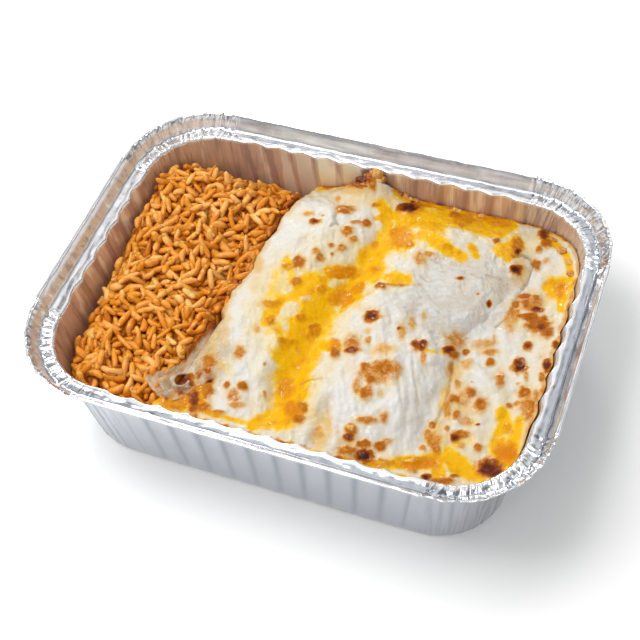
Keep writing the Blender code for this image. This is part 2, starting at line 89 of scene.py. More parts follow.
def ripple(x: Array, y: Array, size: float, seed: float) -> Array:
    """Smooth unevenness from -1 to 1, the same as the solids have.

    Args:
        x: Places along X.
        y: Places along Y.
        size: The length of one ripple.
        seed: Which pattern to read.

    Returns:
        The unevenness at each place.
    """
    flat_x, flat_y = np.broadcast_arrays(np.asarray(x) / size, np.asarray(y) / size)
    values = [noise.noise(Vector((a, b, seed))) for a, b in zip(flat_x.ravel(), flat_y.ravel())]
    return np.array(values).reshape(flat_x.shape)


def speckle(x: Array, y: Array, seed: int) -> Array:
    """Smooth noise from about -1 to 1 with features one unit across.

    Args:
        x: Places along the first direction.
        y: Places along the second direction.
        seed: Which pattern to read.

    Returns:
        The noise at each place.
    """
    x, y = np.broadcast_arrays(np.asarray(x, float), np.asarray(y, float))
    cell_x, cell_y = np.floor(x), np.floor(y)
    part_x, part_y = x - cell_x, y - cell_y
    ease_x = part_x**3 * (part_x * (part_x * 6 - 15) + 10)
    ease_y = part_y**3 * (part_y * (part_y * 6 - 15) + 10)

    def slope(step_x: int, step_y: int) -> Array:
        """The pull of one corner of the cell."""
        mixed = (cell_x + step_x).astype(np.int64) * 374761393 + seed * 974711
        mixed = (mixed + (cell_y + step_y).astype(np.int64) * 668265263) & 0xFFFFFFFF
        mixed = ((mixed ^ (mixed >> 13)) * 1274126177) & 0xFFFFFFFF
        angle = ((mixed ^ (mixed >> 16)) & 0xFFFF) * (math.tau / 0x10000)
        return np.cos(angle) * (part_x - step_x) + np.sin(angle) * (part_y - step_y)

    near = slope(0, 0) + (slope(1, 0) - slope(0, 0)) * ease_x
    far = slope(0, 1) + (slope(1, 1) - slope(0, 1)) * ease_x
    return 1.5 * (near + (far - near) * ease_y)


def mottle(x: Array, y: Array, seed: int, size: float, length: float | None = None) -> Array:
    """Speckle over places, with features of a size along X and a length along Y, in millimetres."""
    return speckle(x / (size * MM), y / ((length or size) * MM), seed)


def operator(operation: str, reflected: bool = False) -> Callable[[Value, Value | float], Value]:
    """Makes the method behind a Python operator.

    Args:
        operation: What its Math node does.
        reflected: Whether the other operand comes first.

    Returns:
        The method.
    """

    def method(own: Value, other: Value | float) -> Value:
        """Adds the Math node."""
        return own.graph.math(operation, *((other, own) if reflected else (own, other)))

    return method


class Value:
    """A node's output that takes part in Python arithmetic."""

    def __init__(self, graph: Graph, socket: bpy.types.NodeSocket) -> None:
        """Wraps one output socket of a graph."""
        self.graph = graph
        self.socket = socket

    __add__, __radd__ = operator("ADD"), operator("ADD", True)
    __sub__, __rsub__ = operator("SUBTRACT"), operator("SUBTRACT", True)
    __mul__, __rmul__ = operator("MULTIPLY"), operator("MULTIPLY", True)

    def __abs__(self) -> Value:
        """The size of self without its sign."""
        return self.graph.math("ABSOLUTE", self)

    def clamped(self) -> Value:
        """self kept between 0 and 1."""
        return self.graph.math("ADD", self, 0.0, clamp=True)

    def step(self, low: float, high: float) -> Value:
        """An even ease from 0 at low to 1 at high."""
        settings = {"interpolation_type": "SMOOTHSTEP"}
        return self.graph.node("ShaderNodeMapRange", settings, {0: self, 1: low, 2: high})


class Graph:
    """A node tree that is written as expressions."""

    def __init__(self, tree: bpy.types.NodeTree) -> None:
        """Starts on a tree."""
        self.tree = tree

    def put(self, kind: str, settings: dict | None = None, inputs: dict | None = None) -> bpy.types.Node:
        """Adds a node, sets it up and links it.

        Args:
            kind: The node's type.
            settings: Its properties, or the stops of its colour ramp under "stops".
            inputs: A value or link for each socket, by name or number.

        Returns:
            The node.
        """
        made = self.tree.nodes.new(kind)
        for name, setting in (settings or {}).items():
            if name == "stops":
                self._set_stops(made.color_ramp, setting)
            else:
                setattr(made, name, setting)
        self.feed(made, inputs or {})
        return made

    def feed(self, node: bpy.types.Node, inputs: dict) -> None:
        """Gives a node's sockets their values and links.

        Args:
            node: The node.
            inputs: A value or link for each socket, by name or number.
        """
        for name, given in inputs.items():
            if isinstance(given, Value):
                self.tree.links.new(given.socket, node.inputs[name])
            elif node.inputs[name].type == "RGBA":
                node.inputs[name].default_value = (*given, 1.0)
            else:
                node.inputs[name].default_value = given

    def node(
        self, kind: str, settings: dict | None = None, inputs: dict | None = None, output: str | int = 0
    ) -> Value:
        """Adds a node as put does, and gives one of its outputs, by name or number."""
        return Value(self, self.put(kind, settings, inputs).outputs[output])

    def math(self, operation: str, *operands: Value | float, clamp: bool = False) -> Value:
        """One Math node."""
        settings = {"operation": operation, "use_clamp": clamp}
        return self.node("ShaderNodeMath", settings, dict(enumerate(operands)))

    def vector(self, operation: str, inputs: dict) -> Value:
        """One Vector Math node."""
        return self.node("ShaderNodeVectorMath", {"operation": operation}, inputs)

    def mix(self, share: Value | float, first: Value | Colour, second: Value | Colour) -> Value:
        """first where share is 0, and second where it is 1."""
        return self.node("ShaderNodeMix", {"data_type": "RGBA"}, {0: share, 6: first, 7: second}, 2)

    def ramp(self, value: Value, stops: Sequence[tuple[float, Colour]]) -> Value:
        """A colour for each value."""
        return self.node("ShaderNodeValToRGB", {"stops": stops}, {0: value})

    def attribute(self, name: str) -> Value:
        """A number that the mesh carries at each point."""
        return self.node("ShaderNodeAttribute", {"attribute_name": name}, output="Fac")

    def stored(self, name: str, kind: str = "FLOAT") -> Value:
        """What each point carries, in a Geometry Nodes group."""
        return self.node("GeometryNodeInputNamedAttribute", {"data_type": kind}, {"Name": name})

    def place(self) -> Value:
        """The place on the object, in metres."""
        return self.node("ShaderNodeTexCoord", output="Object")

    def noise(self, place: Value, size: float, detail: float = 2.0, rough: float = 0.5) -> Value:
        """Soft noise from 0 to 1 with features of a size in metres."""
        inputs = {"Vector": place, "Scale": 1 / size, "Detail": detail, "Roughness": rough}
        return self.node("ShaderNodeTexNoise", None, inputs)

    def cells(self, place: Value, size: float) -> Value:
        """The distance to the nearest of scattered points, which makes facets."""
        return self.node("ShaderNodeTexVoronoi", None, {"Vector": place, "Scale": 1 / size})

    def bump(self, height: Value, depth: float, strength: float = 1.0) -> Value:
        """A normal for relief of a depth in metres."""
        inputs = {"Height": height, "Distance": depth, "Strength": strength}
        return self.node("ShaderNodeBump", None, inputs)

    @staticmethod
    def _set_stops(ramp: bpy.types.ColorRamp, stops: Sequence[tuple[float, Colour]]) -> None:
        """Gives a colour ramp its stops."""
        while len(ramp.elements) < len(stops):
            ramp.elements.new(1.0)
        for element, (place, colour) in zip(ramp.elements, stops):
            element.position = place
            element.color = (*colour, 1.0)


@dataclass(frozen=True)
class Finish:
    """A material, given as what its shader's sockets get."""

    name: str

    def looks(self, graph: Graph) -> dict:
        """The value or link for each socket."""
        raise NotImplementedError

    def build(self) -> bpy.types.Material:
        """Makes the material."""
        made = bpy.data.materials.new(self.name)
        made.use_nodes = True
        graph = Graph(made.node_tree)
        graph.feed(made.node_tree.nodes["Principled BSDF"], self.looks(graph))
        return made


@dataclass(frozen=True)
class FoilFinish(Finish):
    """Bright thin aluminium with shallow dents and fine crinkles, with painted shade and painted sheen."""

    name: str = "foil_crinkled"
    bright: Colour = (0.86, 0.87, 0.89)
    dull: Colour = (0.79, 0.80, 0.83)
    # Browned: baked-on residue, and painted shade at the flutes' cusps.
    browned: Colour = (0.34, 0.16, 0.06)
    stained: Colour = (0.58, 0.36, 0.19)
    # Where grease shows, and the painted sheen down the flutes' middles and the cream band.
    grease_and_sheen: Colour = (0.80, 0.70, 0.50)
    # A dark blue-grey of painted shade, standing for darker reflections.
    painted_shade: Colour = (0.36, 0.39, 0.44)
    roughness: float = 0.13

    def looks(self, graph: Graph) -> dict:
        """Mixes shine, dents and stains with painted shade and the flutes' painted sheen.

        Args:
            graph: The material's graph.

        Returns:
            The value or link for each socket.
        """
        place = graph.place()
        cloud = graph.noise(place, 14 * MM, 3)
        crinkle = graph.cells(place, 3.2 * MM)
        grain = graph.noise(place, 0.9 * MM, 2)
        relief = crinkle * 0.14 + cloud * 1.2
        upright = graph.noise(graph.vector("MULTIPLY", {0: place, 1: (1.0, 1.0, 0.06)}), 3.2 * MM, 3, 0.6)
        stain = (graph.attribute("stain") * (0.75 + cloud * 0.5)).clamped()
        arch = abs(graph.math("SINE", graph.attribute("flute_phase") * math.pi))
        fluted = graph.attribute("flute_share")
        # Painted shade darkens the flutes' cusps; painted sheen lightens their middles and the cream band.
        painted_cusp_shade = fluted * arch.step(0.7, 0.0)
        upright = upright + fluted * (arch - 0.62) * 0.35 - painted_cusp_shade * 0.3 + graph.attribute("cream") * 0.3
        bands = ((0.0, self.browned), (0.38, self.browned), (0.48, self.stained), (0.6, self.stained))
        grease_and_painted_sheen = graph.ramp(upright, (*bands, (0.7, self.grease_and_sheen)))
        metal = graph.mix(cloud.step(0.35, 0.7), self.dull, self.bright)
        # Painted shade, where the dim attribute and the flutes' cusps call for it.
        metal = graph.mix((graph.attribute("dim") * (0.8 + painted_cusp_shade * 0.7)).clamped(), metal, self.painted_shade)
        return {
            "Base Color": graph.mix(stain * 0.9, metal, grease_and_painted_sheen),
            "Metallic": (1 - stain * 0.8 - graph.attribute("pale") * 0.55).clamped(),
            "Roughness": self.roughness + grain * 0.05 + cloud * 0.07 + stain * 0.16,
            "Normal": graph.bump(relief, 0.2 * MM, 0.7),
        }


@dataclass(frozen=True)
class RiceFinish(Finish):
    """Moist cooked rice, stained orange, with each grain its own tone and painted shade on the lower
    grains.
    """

    name: str
    pale: Colour = (0.84, 0.47, 0.14)
    warm: Colour = (0.68, 0.25, 0.018)
    deep: Colour = (0.36, 0.085, 0.005)
    subsurface: float = 0.5

    def looks(self, graph: Graph) -> dict:
        """Mixes each grain's shade with soft clouds of tone.

        Args:
            graph: The material's graph.

        Returns:
            The value or link for each socket.
        """
        place = graph.place()
        patch = graph.noise(place, 6 * MM, 2)
        grain = graph.noise(place, 0.8 * MM, 3)
        cloud = graph.noise(place, 2.4 * MM, 2)
        clump = graph.noise(place, 13 * MM, 2)
        tone = graph.attribute("shade") + (clump - 0.5) * 0.9 + (patch - 0.5) * 0.4
        tone = (tone + (cloud - 0.5) * 0.6 + (grain - 0.5) * 0.25).clamped()
        tones = ((0.0, self.deep), (0.34, self.warm), (0.55, self.warm), (0.95, self.pale))
        return {
            "Subsurface Weight": self.subsurface,
            "Subsurface Radius": (1.0, 0.55, 0.2),
            "Subsurface Scale": 1.6 * MM,
            "Specular IOR Level": 0.25,
            "Specular Tint": (1.0, 0.85, 0.65),
            "Coat Weight": 0.14,
            "Coat Roughness": 0.08,
            "Base Color": graph.ramp(tone, tones),
            "Roughness": 0.16 + grain * 0.25,
            "Normal": graph.bump(grain, 0.2 * MM, 0.7),
        }


@dataclass(frozen=True)
class CheeseFinish(Finish):
    """Melted cheese: white and cream, yellow and orange where it is fatty, browned where it blistered."""

    name: str = "cheese_melted"
    white: Colour = (0.61, 0.597, 0.563)
    shaded: Colour = (0.54, 0.46, 0.385)
    # The dark line of painted shade along creases.
    painted_crease_shade: Colour = (0.24, 0.15, 0.08)
    cream: Colour = (0.62, 0.53, 0.35)
    # Tan: the tone of sauce and thin cheese, and painted shade in valleys and folds.
    tan: Colour = (0.57, 0.375, 0.13)
    pale_yellow: Colour = (0.69, 0.55, 0.22)
    lemon: Colour = (0.71, 0.45, 0.018)
    yellow: Colour = (0.70, 0.37, 0.001)
    amber: Colour = (0.62, 0.25, 0.001)
    orange: Colour = (0.52, 0.16, 0.001)
    golden: Colour = (0.49, 0.168, 0.001)
    brown: Colour = (0.28, 0.062, 0.002)
    dark: Colour = (0.12, 0.016, 0.003)
    burnt: Colour = (0.020, 0.003, 0.005)
    subsurface: float = 0.08
    roughness: float = 0.25

    def looks(self, graph: Graph) -> dict:
        """Mixes cream, fat, tan and the browned crust, with painted shade from tan, cream and creases.

        Args:
            graph: The material's graph.

        Returns:
            The value or link for each socket.
        """
        place = graph.place()
        fine = graph.noise(place, 0.7 * MM, 3, 0.6)
        medium = graph.noise(place, 2.6 * MM, 3)
        wide = graph.noise(place, 9 * MM, 3)
        melt, toast = graph.attribute("melt"), graph.attribute("toast")
        grit = (fine - 0.5) * 0.5 + (medium - 0.5) * 0.5
        creamy = (graph.attribute("cream") + (wide - 0.52) * 0.9 + grit * 0.4).clamped()
        skin, crease = graph.attribute("skin"), graph.attribute("crease")
        patchy = graph.noise(place, 2.0 * MM, 4, 0.6)
        base = graph.mix(creamy, self.white, self.cream)
        base = graph.mix(skin * wide.step(0.38, 0.62) * (0.2 + patchy * 0.5), base, self.shaded)
        base = graph.mix((graph.attribute("tan") + grit * 0.4).step(0.08, 1.1), base, self.tan)
        fatty = (melt + (grit * 0.35 + (wide - 0.5) * 0.5) * melt.step(0.0, 0.3)).clamped()
        hue = (graph.attribute("orange") + (medium - 0.5) * 0.8 + (fine - 0.5) * 0.4).step(0.15, 1.0)
        oils = ((0.0, self.pale_yellow), (0.15, self.pale_yellow), (0.45, self.lemon), (0.7, self.yellow))
        oil = graph.ramp(fatty, (*oils, (1.0, self.yellow)))
        oil = graph.mix(graph.noise(place, 4 * MM, 2).step(0.45, 0.75) * 0.8, oil, self.amber)
        oil = graph.mix(hue * fatty.step(0.3, 0.7), oil, self.orange)
        base = graph.mix(fatty.step(0.02, 0.55), base, oil)
        # Painted shade: a dark line along each crease.
        base = graph.mix(crease * (0.3 + medium * 0.5), base, self.painted_crease_shade)
        heat = (toast + toast.step(0.0, 0.25) * grit * 0.6).clamped()
        crusts = ((0.0, self.golden), (0.24, self.golden), (0.52, self.brown), (0.80, self.dark))
        crust = graph.ramp(heat, (*crusts, (1.0, self.burnt)))
        crust = graph.mix(fatty.step(0.3, 0.8) * heat.step(0.65, 0.15) * 0.85, crust, self.amber)
        colour = graph.mix(heat.step(0.0, 0.38), base, crust)
        relief = medium * 0.5 + fine * 0.3 * (1 - fatty * 0.5) + (toast * 0.4 + skin * 0.6) * fine
        return {
            "Subsurface Weight": self.subsurface,
            "Subsurface Radius": (1.0, 0.7, 0.4),
            "Subsurface Scale": 0.8 * MM,
            "Specular IOR Level": 0.12,
            "Specular Tint": (1.0, 0.85, 0.6),
            "Coat Roughness": 0.06,
            "Base Color": colour,
            "Roughness": self.roughness + medium * 0.3 - fatty * 0.1,
            "Coat Weight": (patchy.step(0.54, 0.6) * (0.42 + fatty * 0.4 + toast * 0.4)).clamped(),
            "Normal": graph.bump(relief, 0.7 * MM, 1.0),
        }


@dataclass(frozen=True)
class CrumbFinish(Finish):
    """Fried crumbs of cheese, from golden to burnt by each crumb's shade."""

    name: str = "crumbs_fried"
    golden: Colour = (0.80, 0.46, 0.13)
    brown: Colour = (0.36, 0.10, 0.012)
    burnt: Colour = (0.06, 0.010, 0.004)

    def looks(self, graph: Graph) -> dict:
        """Mixes each crumb's shade with its grain.

        Args:
            graph: The material's graph.

        Returns:
            The value or link for each socket.
        """
        grain = graph.noise(graph.place(), 0.7 * MM, 3)
        tone = (graph.attribute("shade") + (grain - 0.5) * 0.5).clamped()
        return {
            "Base Color": graph.ramp(tone, ((0.0, self.golden), (0.5, self.brown), (1.0, self.burnt))),
            "Specular IOR Level": 0.25,
            "Roughness": 0.22 + grain * 0.25,
            "Normal": graph.bump(grain, 0.35 * MM, 1.0),
        }


@dataclass(frozen=True)
class FilmFinish(Finish):
    """Thin cheese that lets what is under it show through."""

    name: str
    thick: Colour
    thin: Colour
    opaque: float
    clear: float
    browned: Colour = (0.42, 0.15, 0.02)
    burnt: Colour = (0.05, 0.010, 0.005)

    def looks(self, graph: Graph) -> dict:
        """Mixes the film's body, its browned marks and how clear it is.

        Args:
            graph: The material's graph.

        Returns:
            The value or link for each socket.
        """
        place = graph.place()
        medium = graph.noise(place, 3 * MM, 3)
        body = (graph.attribute("body") + (medium - 0.5) * 0.5).clamped()
        toast = (graph.attribute("toast") + (medium - 0.5) * 0.2).clamped()
        shown = self.clear + body * (self.opaque - self.clear)
        colour = graph.mix(body, self.thin, self.thick)
        colour = graph.mix(toast.step(0.1, 0.5), colour, self.browned)
        colour = graph.mix(toast.step(0.5, 0.95), colour, self.burnt)
        return {
            "Base Color": colour,
            "Coat Weight": 0.1,
            "Coat Roughness": 0.1,
            "Roughness": 0.25,
            "Specular IOR Level": 0.25,
            "Alpha": (shown * graph.attribute("edge") + toast).clamped(),
            "Normal": graph.bump(medium, 0.3 * MM, 0.5),
        }


@dataclass(frozen=True)
class FloorFinish(Finish):
    """A plain pale sweep."""

    name: str = "floor_pale"
    colour: Colour = (0.93, 0.93, 0.925)

    def looks(self, graph: Graph) -> dict:
        """Mixes two close tones.

        Args:
            graph: The material's graph.

        Returns:
            The value or link for each socket.
        """
        cloud = graph.noise(graph.place(), 0.4, 2)
        dimmer = tuple(part * 0.985 for part in self.colour)
        return {"Base Color": graph.mix(cloud, self.colour, dimmer), "Roughness": 0.6}


def placed(name: str, data: bpy.types.ID) -> bpy.types.Object:
    """Makes an object for a mesh, lamp or camera and links it to the scene."""
    made = bpy.data.objects.new(name, data)
    bpy.context.scene.collection.objects.link(made)
    return made


def mesh_object(
    name: str, points: Array, faces: Iterable[Sequence[int]], values: dict[str, Array] | None = None
) -> bpy.types.Object:
    """Makes a smooth-shaded object.

    Args:
        name: Its name.
        points: Its vertices, one row of three each.
        faces: The vertex numbers of each face.
        values: Numbers or vectors to store at each vertex.

    Returns:
        The object, linked to the scene.
    """
    mesh = bpy.data.meshes.new(name)
    corners = np.asarray(points, float).reshape(-1, 3)
    mesh.from_pydata(corners.tolist(), [], [list(face) for face in faces])
    for key, numbers in (values or {}).items():
        kind, part = ("FLOAT_VECTOR", "vector") if np.ndim(numbers) == 2 else ("FLOAT", "value")
        stored = mesh.attributes.new(key, kind, "POINT").data
        stored.foreach_set(part, np.asarray(numbers, np.float32).ravel())
    mesh.polygons.foreach_set("use_smooth", [True] * len(mesh.polygons))
    mesh.update()
    return placed(name, mesh)


def grid_faces(rows: int, columns: int, closed: bool = False, first: int = 0) -> list[tuple[int, ...]]:
    """The quads of a grid of vertices.

    Args:
        rows: How many rows of vertices.
        columns: How many vertices in a row.
        closed: Whether each row is a ring.
        first: The number of the first vertex.

    Returns:
        The quads, facing up where rows run along +Y and columns along +X.
    """
    index = first + np.arange(rows * columns).reshape(rows, columns)
    if closed:
        index = np.concatenate((index, index[:, :1]), axis=1)
    quads = np.stack((index[:-1, :-1], index[:-1, 1:], index[1:, 1:], index[1:, :-1]), axis=-1)
    return [tuple(quad) for quad in quads.reshape(-1, 4).tolist()]


def tube_faces(rings: int, count: int) -> list[tuple[int, ...]]:
    """The faces of a tube of rings with a number of vertices each, capped at both ends."""
    caps = [tuple(range(count - 1, -1, -1)), tuple(range((rings - 1) * count, rings * count))]
    return grid_faces(rings, count, closed=True) + caps


def ball_faces(rings: int, sides: int, first: int = 0) -> list[tuple[int, ...]]:
    """The faces of a ball whose vertices are a pole, its rings and the other pole.

    Args:
        rings: How many rings.
        sides: How many vertices in a ring.
        first: The number of the first pole.

    Returns:
        The faces, pointing outwards.
    """
    faces = grid_faces(rings, sides, closed=True, first=first + 1)
    last = first + rings * sides + 1
    for side in range(sides):
        after = (side + 1) % sides
        faces.append((first, first + 1 + after, first + 1 + side))
        faces.append((last, last - sides + side, last - sides + after))
    return faces


def settle_mesh(source: bpy.types.Object, name: str) -> bpy.types.Object:
    """Turns what an object's modifiers make into a plain mesh of its own, and removes the source.

    Args:
        source: The object with live modifiers.
        name: The new object's name.

    Returns:
        The plain object.
    """
    graph = bpy.context.evaluated_depsgraph_get()
    mesh = bpy.data.meshes.new_from_object(source.evaluated_get(graph), depsgraph=graph)
    bpy.data.objects.remove(source)
    mesh.name = name
    mesh.polygons.foreach_set("use_smooth", [True] * len(mesh.polygons))
    return placed(name, mesh)


def give_tree(target: bpy.types.Object, tree: bpy.types.NodeTree, inputs: dict) -> None:
    """Puts a Geometry Nodes modifier on an object.

    Args:
        target: The object.
        tree: The node group.
        inputs: The group's inputs by name.
    """
    modifier = target.modifiers.new(tree.name, "NODES")
    modifier.node_group = tree
    sockets = {item.name: item.identifier for item in tree.interface.items_tree if item.in_out == "INPUT"}
    for name, value in inputs.items():
        modifier[sockets[name]] = value


def start_tree(name: str, inputs: dict[str, tuple[str, float | None]]) -> tuple[Graph, dict[str, Value]]:
    """Starts a Geometry Nodes group that takes a geometry and a material.

    Args:
        name: The group's name.
        inputs: Each other input's socket type and default.

    Returns:
        The graph and its inputs.
    """
    inputs = {**inputs, "Material": ("NodeSocketMaterial", None)}
    tree = bpy.data.node_groups.new(name, "GeometryNodeTree")
    tree.interface.new_socket("Geometry", in_out="INPUT", socket_type="NodeSocketGeometry")
    for label, (kind, default) in inputs.items():
        socket = tree.interface.new_socket(label, in_out="INPUT", socket_type=kind)
        if default is not None:
            socket.default_value = default
    tree.interface.new_socket("Geometry", in_out="OUTPUT", socket_type="NodeSocketGeometry")
    graph = Graph(tree)
    start = graph.put("NodeGroupInput")
    return graph, {label: Value(graph, start.outputs[label]) for label in ("Geometry", *inputs)}


def end_tree(graph: Graph, geometry: Value, material: Value) -> bpy.types.NodeTree:
    """Ends a group in Realize Instances and Set Material.

    Args:
        graph: The group's graph.
        geometry: What it has made.
        material: The material to give it.

    Returns:
        The finished node group.
    """
    real = graph.node("GeometryNodeRealizeInstances", None, {"Geometry": geometry})
    dressed = graph.node("GeometryNodeSetMaterial", None, {"Geometry": real, "Material": material})
    graph.put("NodeGroupOutput", None, {"Geometry": dressed})
    return graph.tree


def flute_tree() -> bpy.types.NodeTree:
    """The press that gives the tray's walls their flutes: arches that bulge outwards, with cusps between.

    Returns:
        The node group.
    """
    graph, own = start_tree("flute_press", {"Depth": ("NodeSocketFloat", BOWL.flute_depth)})
    arch = abs(graph.math("SINE", graph.stored("flute_phase") * math.pi))
    reach = arch * graph.stored("flute_share") * own["Depth"]
    push = graph.vector("SCALE", {0: graph.stored("outward", "FLOAT_VECTOR"), "Scale": reach})
    pressed = graph.node("GeometryNodeSetPosition", None, {"Geometry": own["Geometry"], "Offset": push})
    return end_tree(graph, pressed, own["Material"])


def scatter_tree() -> bpy.types.NodeTree:
    """Puts a small piece on every point, turned and sized by what the point carries.

    Returns:
        The node group.
    """
    inputs = {"Pieces": ("NodeSocketCollection", None), "Seed": ("NodeSocketInt", 7)}
    graph, own = start_tree("scatter_pieces", inputs)
    each = {"Collection": own["Pieces"], "Separate Children": True, "Reset Children": True}
    pieces = graph.node("GeometryNodeCollectionInfo", {"transform_space": "ORIGINAL"}, each)
    turns = {2: 0.0, 3: math.tau, "Seed": own["Seed"]}
    turn = graph.node("FunctionNodeRandomValue", {"data_type": "FLOAT"}, turns, 1)
    lie = {0: turn, 1: graph.stored("pitch"), 2: graph.stored("heading")}
    angles = graph.node("ShaderNodeCombineXYZ", None, lie)
    rotation = graph.node("FunctionNodeEulerToRotation", None, {"Euler": angles})
    kind = graph.node("FunctionNodeFloatToInt", None, {"Float": graph.stored("kind")})
    inputs = {
        "Points": own["Geometry"],
        "Instance": pieces,
        "Pick Instance": True,
        "Instance Index": kind,
        "Rotation": rotation,
        "Scale": graph.stored("size", "FLOAT_VECTOR"),
    }
    scattered = graph.node("GeometryNodeInstanceOnPoints", None, inputs)
    return end_tree(graph, scattered, own["Material"])


@dataclass(frozen=True)
class PhotoCamera:
    """The camera at the photograph's viewing angle. Pixels are those of a 640 by 640 frame."""

    frame: float = 640.0
    focal: float = 1267.5
    azimuth: float = 26.818
    elevation: float = 53.085
    roll: float = -7.966
    distance: float = 0.5800
    target: tuple[float, float, float] = (-0.0109, 0.0180, 0.0029)

    def axes(self) -> Array:
        """Its right, up and back directions, one in each row.

        Returns:
            A three by three array.
        """
        around, above, roll = (math.radians(angle) for angle in (self.azimuth, self.elevation, self.roll))
        level = np.array((math.cos(around), math.sin(around), 0.0))
        forward = np.array((math.sin(around), -math.cos(around), 0.0))
        back = math.cos(above) * forward + np.array((0.0, 0.0, math.sin(above)))
        upright = np.cross(back, level)
        right = math.cos(roll) * level + math.sin(roll) * upright
        up = -math.sin(roll) * level + math.cos(roll) * upright
        return np.stack((right, up, back))

    def eye(self) -> Array:
        """Where it stands."""
        return np.array(self.target) + self.axes()[2] * self.distance

    def project(self, points: Array) -> tuple[Array, Array]:
        """The column and the row of the pixel at which each point shows."""
        right, up, back = np.moveaxis((points - self.eye()) @ self.axes().T, -1, 0)
        return self.frame / 2 + self.focal * right / -back, self.frame / 2 - self.focal * up / -back

    def on_surface(self, column: Sequence[float], row: Sequence[float], height: Height) -> Array:
        """The points of a surface that show at pixels.

        Args:
            column: The pixels' columns.
            row: The pixels' rows.
            height: The surface's height over each (x, y).

        Returns:
            The points, with their three coordinates last.
        """
        column, row = np.asarray(column, float), np.asarray(row, float)
        ahead = np.full(column.shape, -self.focal)
        ray = np.stack((column - self.frame / 2, self.frame / 2 - row, ahead), axis=-1) @ self.axes()
        level = np.full(column.shape, 44 * MM)
        for _ in range(8):
            reach = (level - self.eye()[2]) / ray[..., 2]
            spot = self.eye() + ray * reach[..., None]
            level = level + 0.7 * (height(spot[..., 0], spot[..., 1]) - level)
        return spot

    def build(self) -> bpy.types.Object:
        """Makes the camera and gives it to the scene.

        Returns:
            The camera.
        """
        data = bpy.data.cameras.new("camera")
        data.sensor_width = 36.0
        data.lens = self.focal / self.frame * data.sensor_width
        data.clip_start = 0.01
        made = placed("camera", data)
        place = Matrix(self.axes().T.tolist()).to_4x4()
        place.translation = Vector(self.eye())
        made.matrix_world = place
        bpy.context.scene.camera = made
        return made


@dataclass(frozen=True)
class Outline:
    """A level outline of the tray: a rectangle with round corners."""

    half_x: float
    half_y: float
    radius: float

    def grown(self, distance: float) -> Outline:
        """The outline that lies a distance outside this one."""
        return Outline(self.half_x + distance, self.half_y + distance, self.radius + distance)

    def right_at(self, y: Array) -> Array:
        """How far +X it reaches at each y."""
        over = np.clip(np.abs(y) - (self.half_y - self.radius), 0.0, self.radius)
        return self.half_x - self.radius + np.sqrt(np.maximum(self.radius**2 - over**2, 0.0))


@dataclass(frozen=True)
class Bowl:
    """The inside of the tray, which the foil and the food share."""

    ledge_height: float = 50.5 * MM
    opening: Outline = Outline(100.5 * MM, 71.5 * MM, 28 * MM)
    inset_lengthways: float = 8.2 * MM
    inset_crossways: float = 1.4 * MM
    base_radius: float = 27.5 * MM
    fillet: float = 3 * MM
    floor: float = 0.5 * MM
    flute_depth: float = 1.3 * MM
    flute_pitch: float = 11.8 * MM
    long_side_flutes: int = 11
    short_side_flutes: int = 6
    foot_flute_share: float = 0.3

    def wall(self, height: float) -> Outline:
        """The inner wall's outline at a height."""
        share = 1 - min(1.0, height / self.ledge_height)
        return Outline(
            self.opening.half_x - self.inset_lengthways * share,
            self.opening.half_y - self.inset_crossways * share,
            self.opening.radius + (self.base_radius - self.opening.radius) * share,
        )

    def corner_middle(self, z: Array) -> tuple[Array, Array]:
        """Where the middle of the rounded corner at +X and +Y lies, at each height."""
        share = 1 - np.minimum(1.0, z / self.ledge_height)
        x = self.opening.half_x - self.inset_lengthways * share - self.opening.radius
        return x, self.opening.half_y - self.inset_crossways * share - self.opening.radius

    def depth(self, x: Array, y: Array, z: Array) -> Array:
        """How far each place lies inside the wall.

        Args:
            x: The places along X.
            y: The places along Y.
            z: Their heights.

        Returns:
            The depths, which are negative outside.
        """
        middle_x, middle_y = self.corner_middle(z)
        side_x, side_y = np.abs(x) - middle_x, np.abs(y) - middle_y
        rounded = np.hypot(np.maximum(side_x, 0.0), np.maximum(side_y, 0.0))
        straight = np.maximum(side_x, side_y)
        return self.opening.radius - np.where((side_x > 0) & (side_y > 0), rounded, straight)

    def kept_inside(self, x: Array, y: Array, z: Array, gap: float = 0.15 * MM) -> tuple[Array, Array]:
        """Brings places that lie in or beyond the fluted wall back inside it.

        Args:
            x: The places along X.
            y: The places along Y.
            z: Their heights.
            gap: How far from the wall they stay; corners, where it is pleated, get more.

        Returns:
            The places' x and y.
        """
        middle_x, middle_y = self.corner_middle(z)
        side_x, side_y = np.maximum(np.abs(x) - middle_x, 0.0), np.maximum(np.abs(y) - middle_y, 0.0)
        rise = np.minimum(1.0, z / self.ledge_height)
        deep = self.foot_flute_share + (1 - self.foot_flute_share) * rise
        at_end, at_side = self.flute(y, self.short_side_flutes), self.flute(x, self.long_side_flutes)
        bulge = deep * np.where(side_x > 0, at_end, at_side)
        below = np.clip(self.floor + self.fillet - z, 0.0, self.fillet)
        rounding = self.fillet - np.sqrt(self.fillet**2 - below**2)
        pleats = 0.35 * MM * ((side_x > 0) & (side_y > 0))
        limit = self.opening.radius - gap - pleats - rounding + bulge
        scale = np.minimum(1.0, limit / np.maximum(np.hypot(side_x, side_y), 1e-6))
        inner_x = np.where(side_x > 0, middle_x + side_x * scale, np.abs(x))
        inner_y = np.where(side_y > 0, middle_y + side_y * scale, np.abs(y))
        return np.copysign(inner_x, x), np.copysign(inner_y, y)

    def flute(self, along: Array, flutes: int) -> Array:
        """How far the wall bulges outwards at places along a side.

        Args:
            along: Distances from the side's middle.
            flutes: How many flutes the side has.

        Returns:
            The bulge at the ledge's height.
        """
        half = flutes * self.flute_pitch / 2
        arch = np.abs(np.sin(np.pi * (along + half) / self.flute_pitch))
        return self.flute_depth * np.where(np.abs(along) < half, arch, 0.0)


BOWL = Bowl()


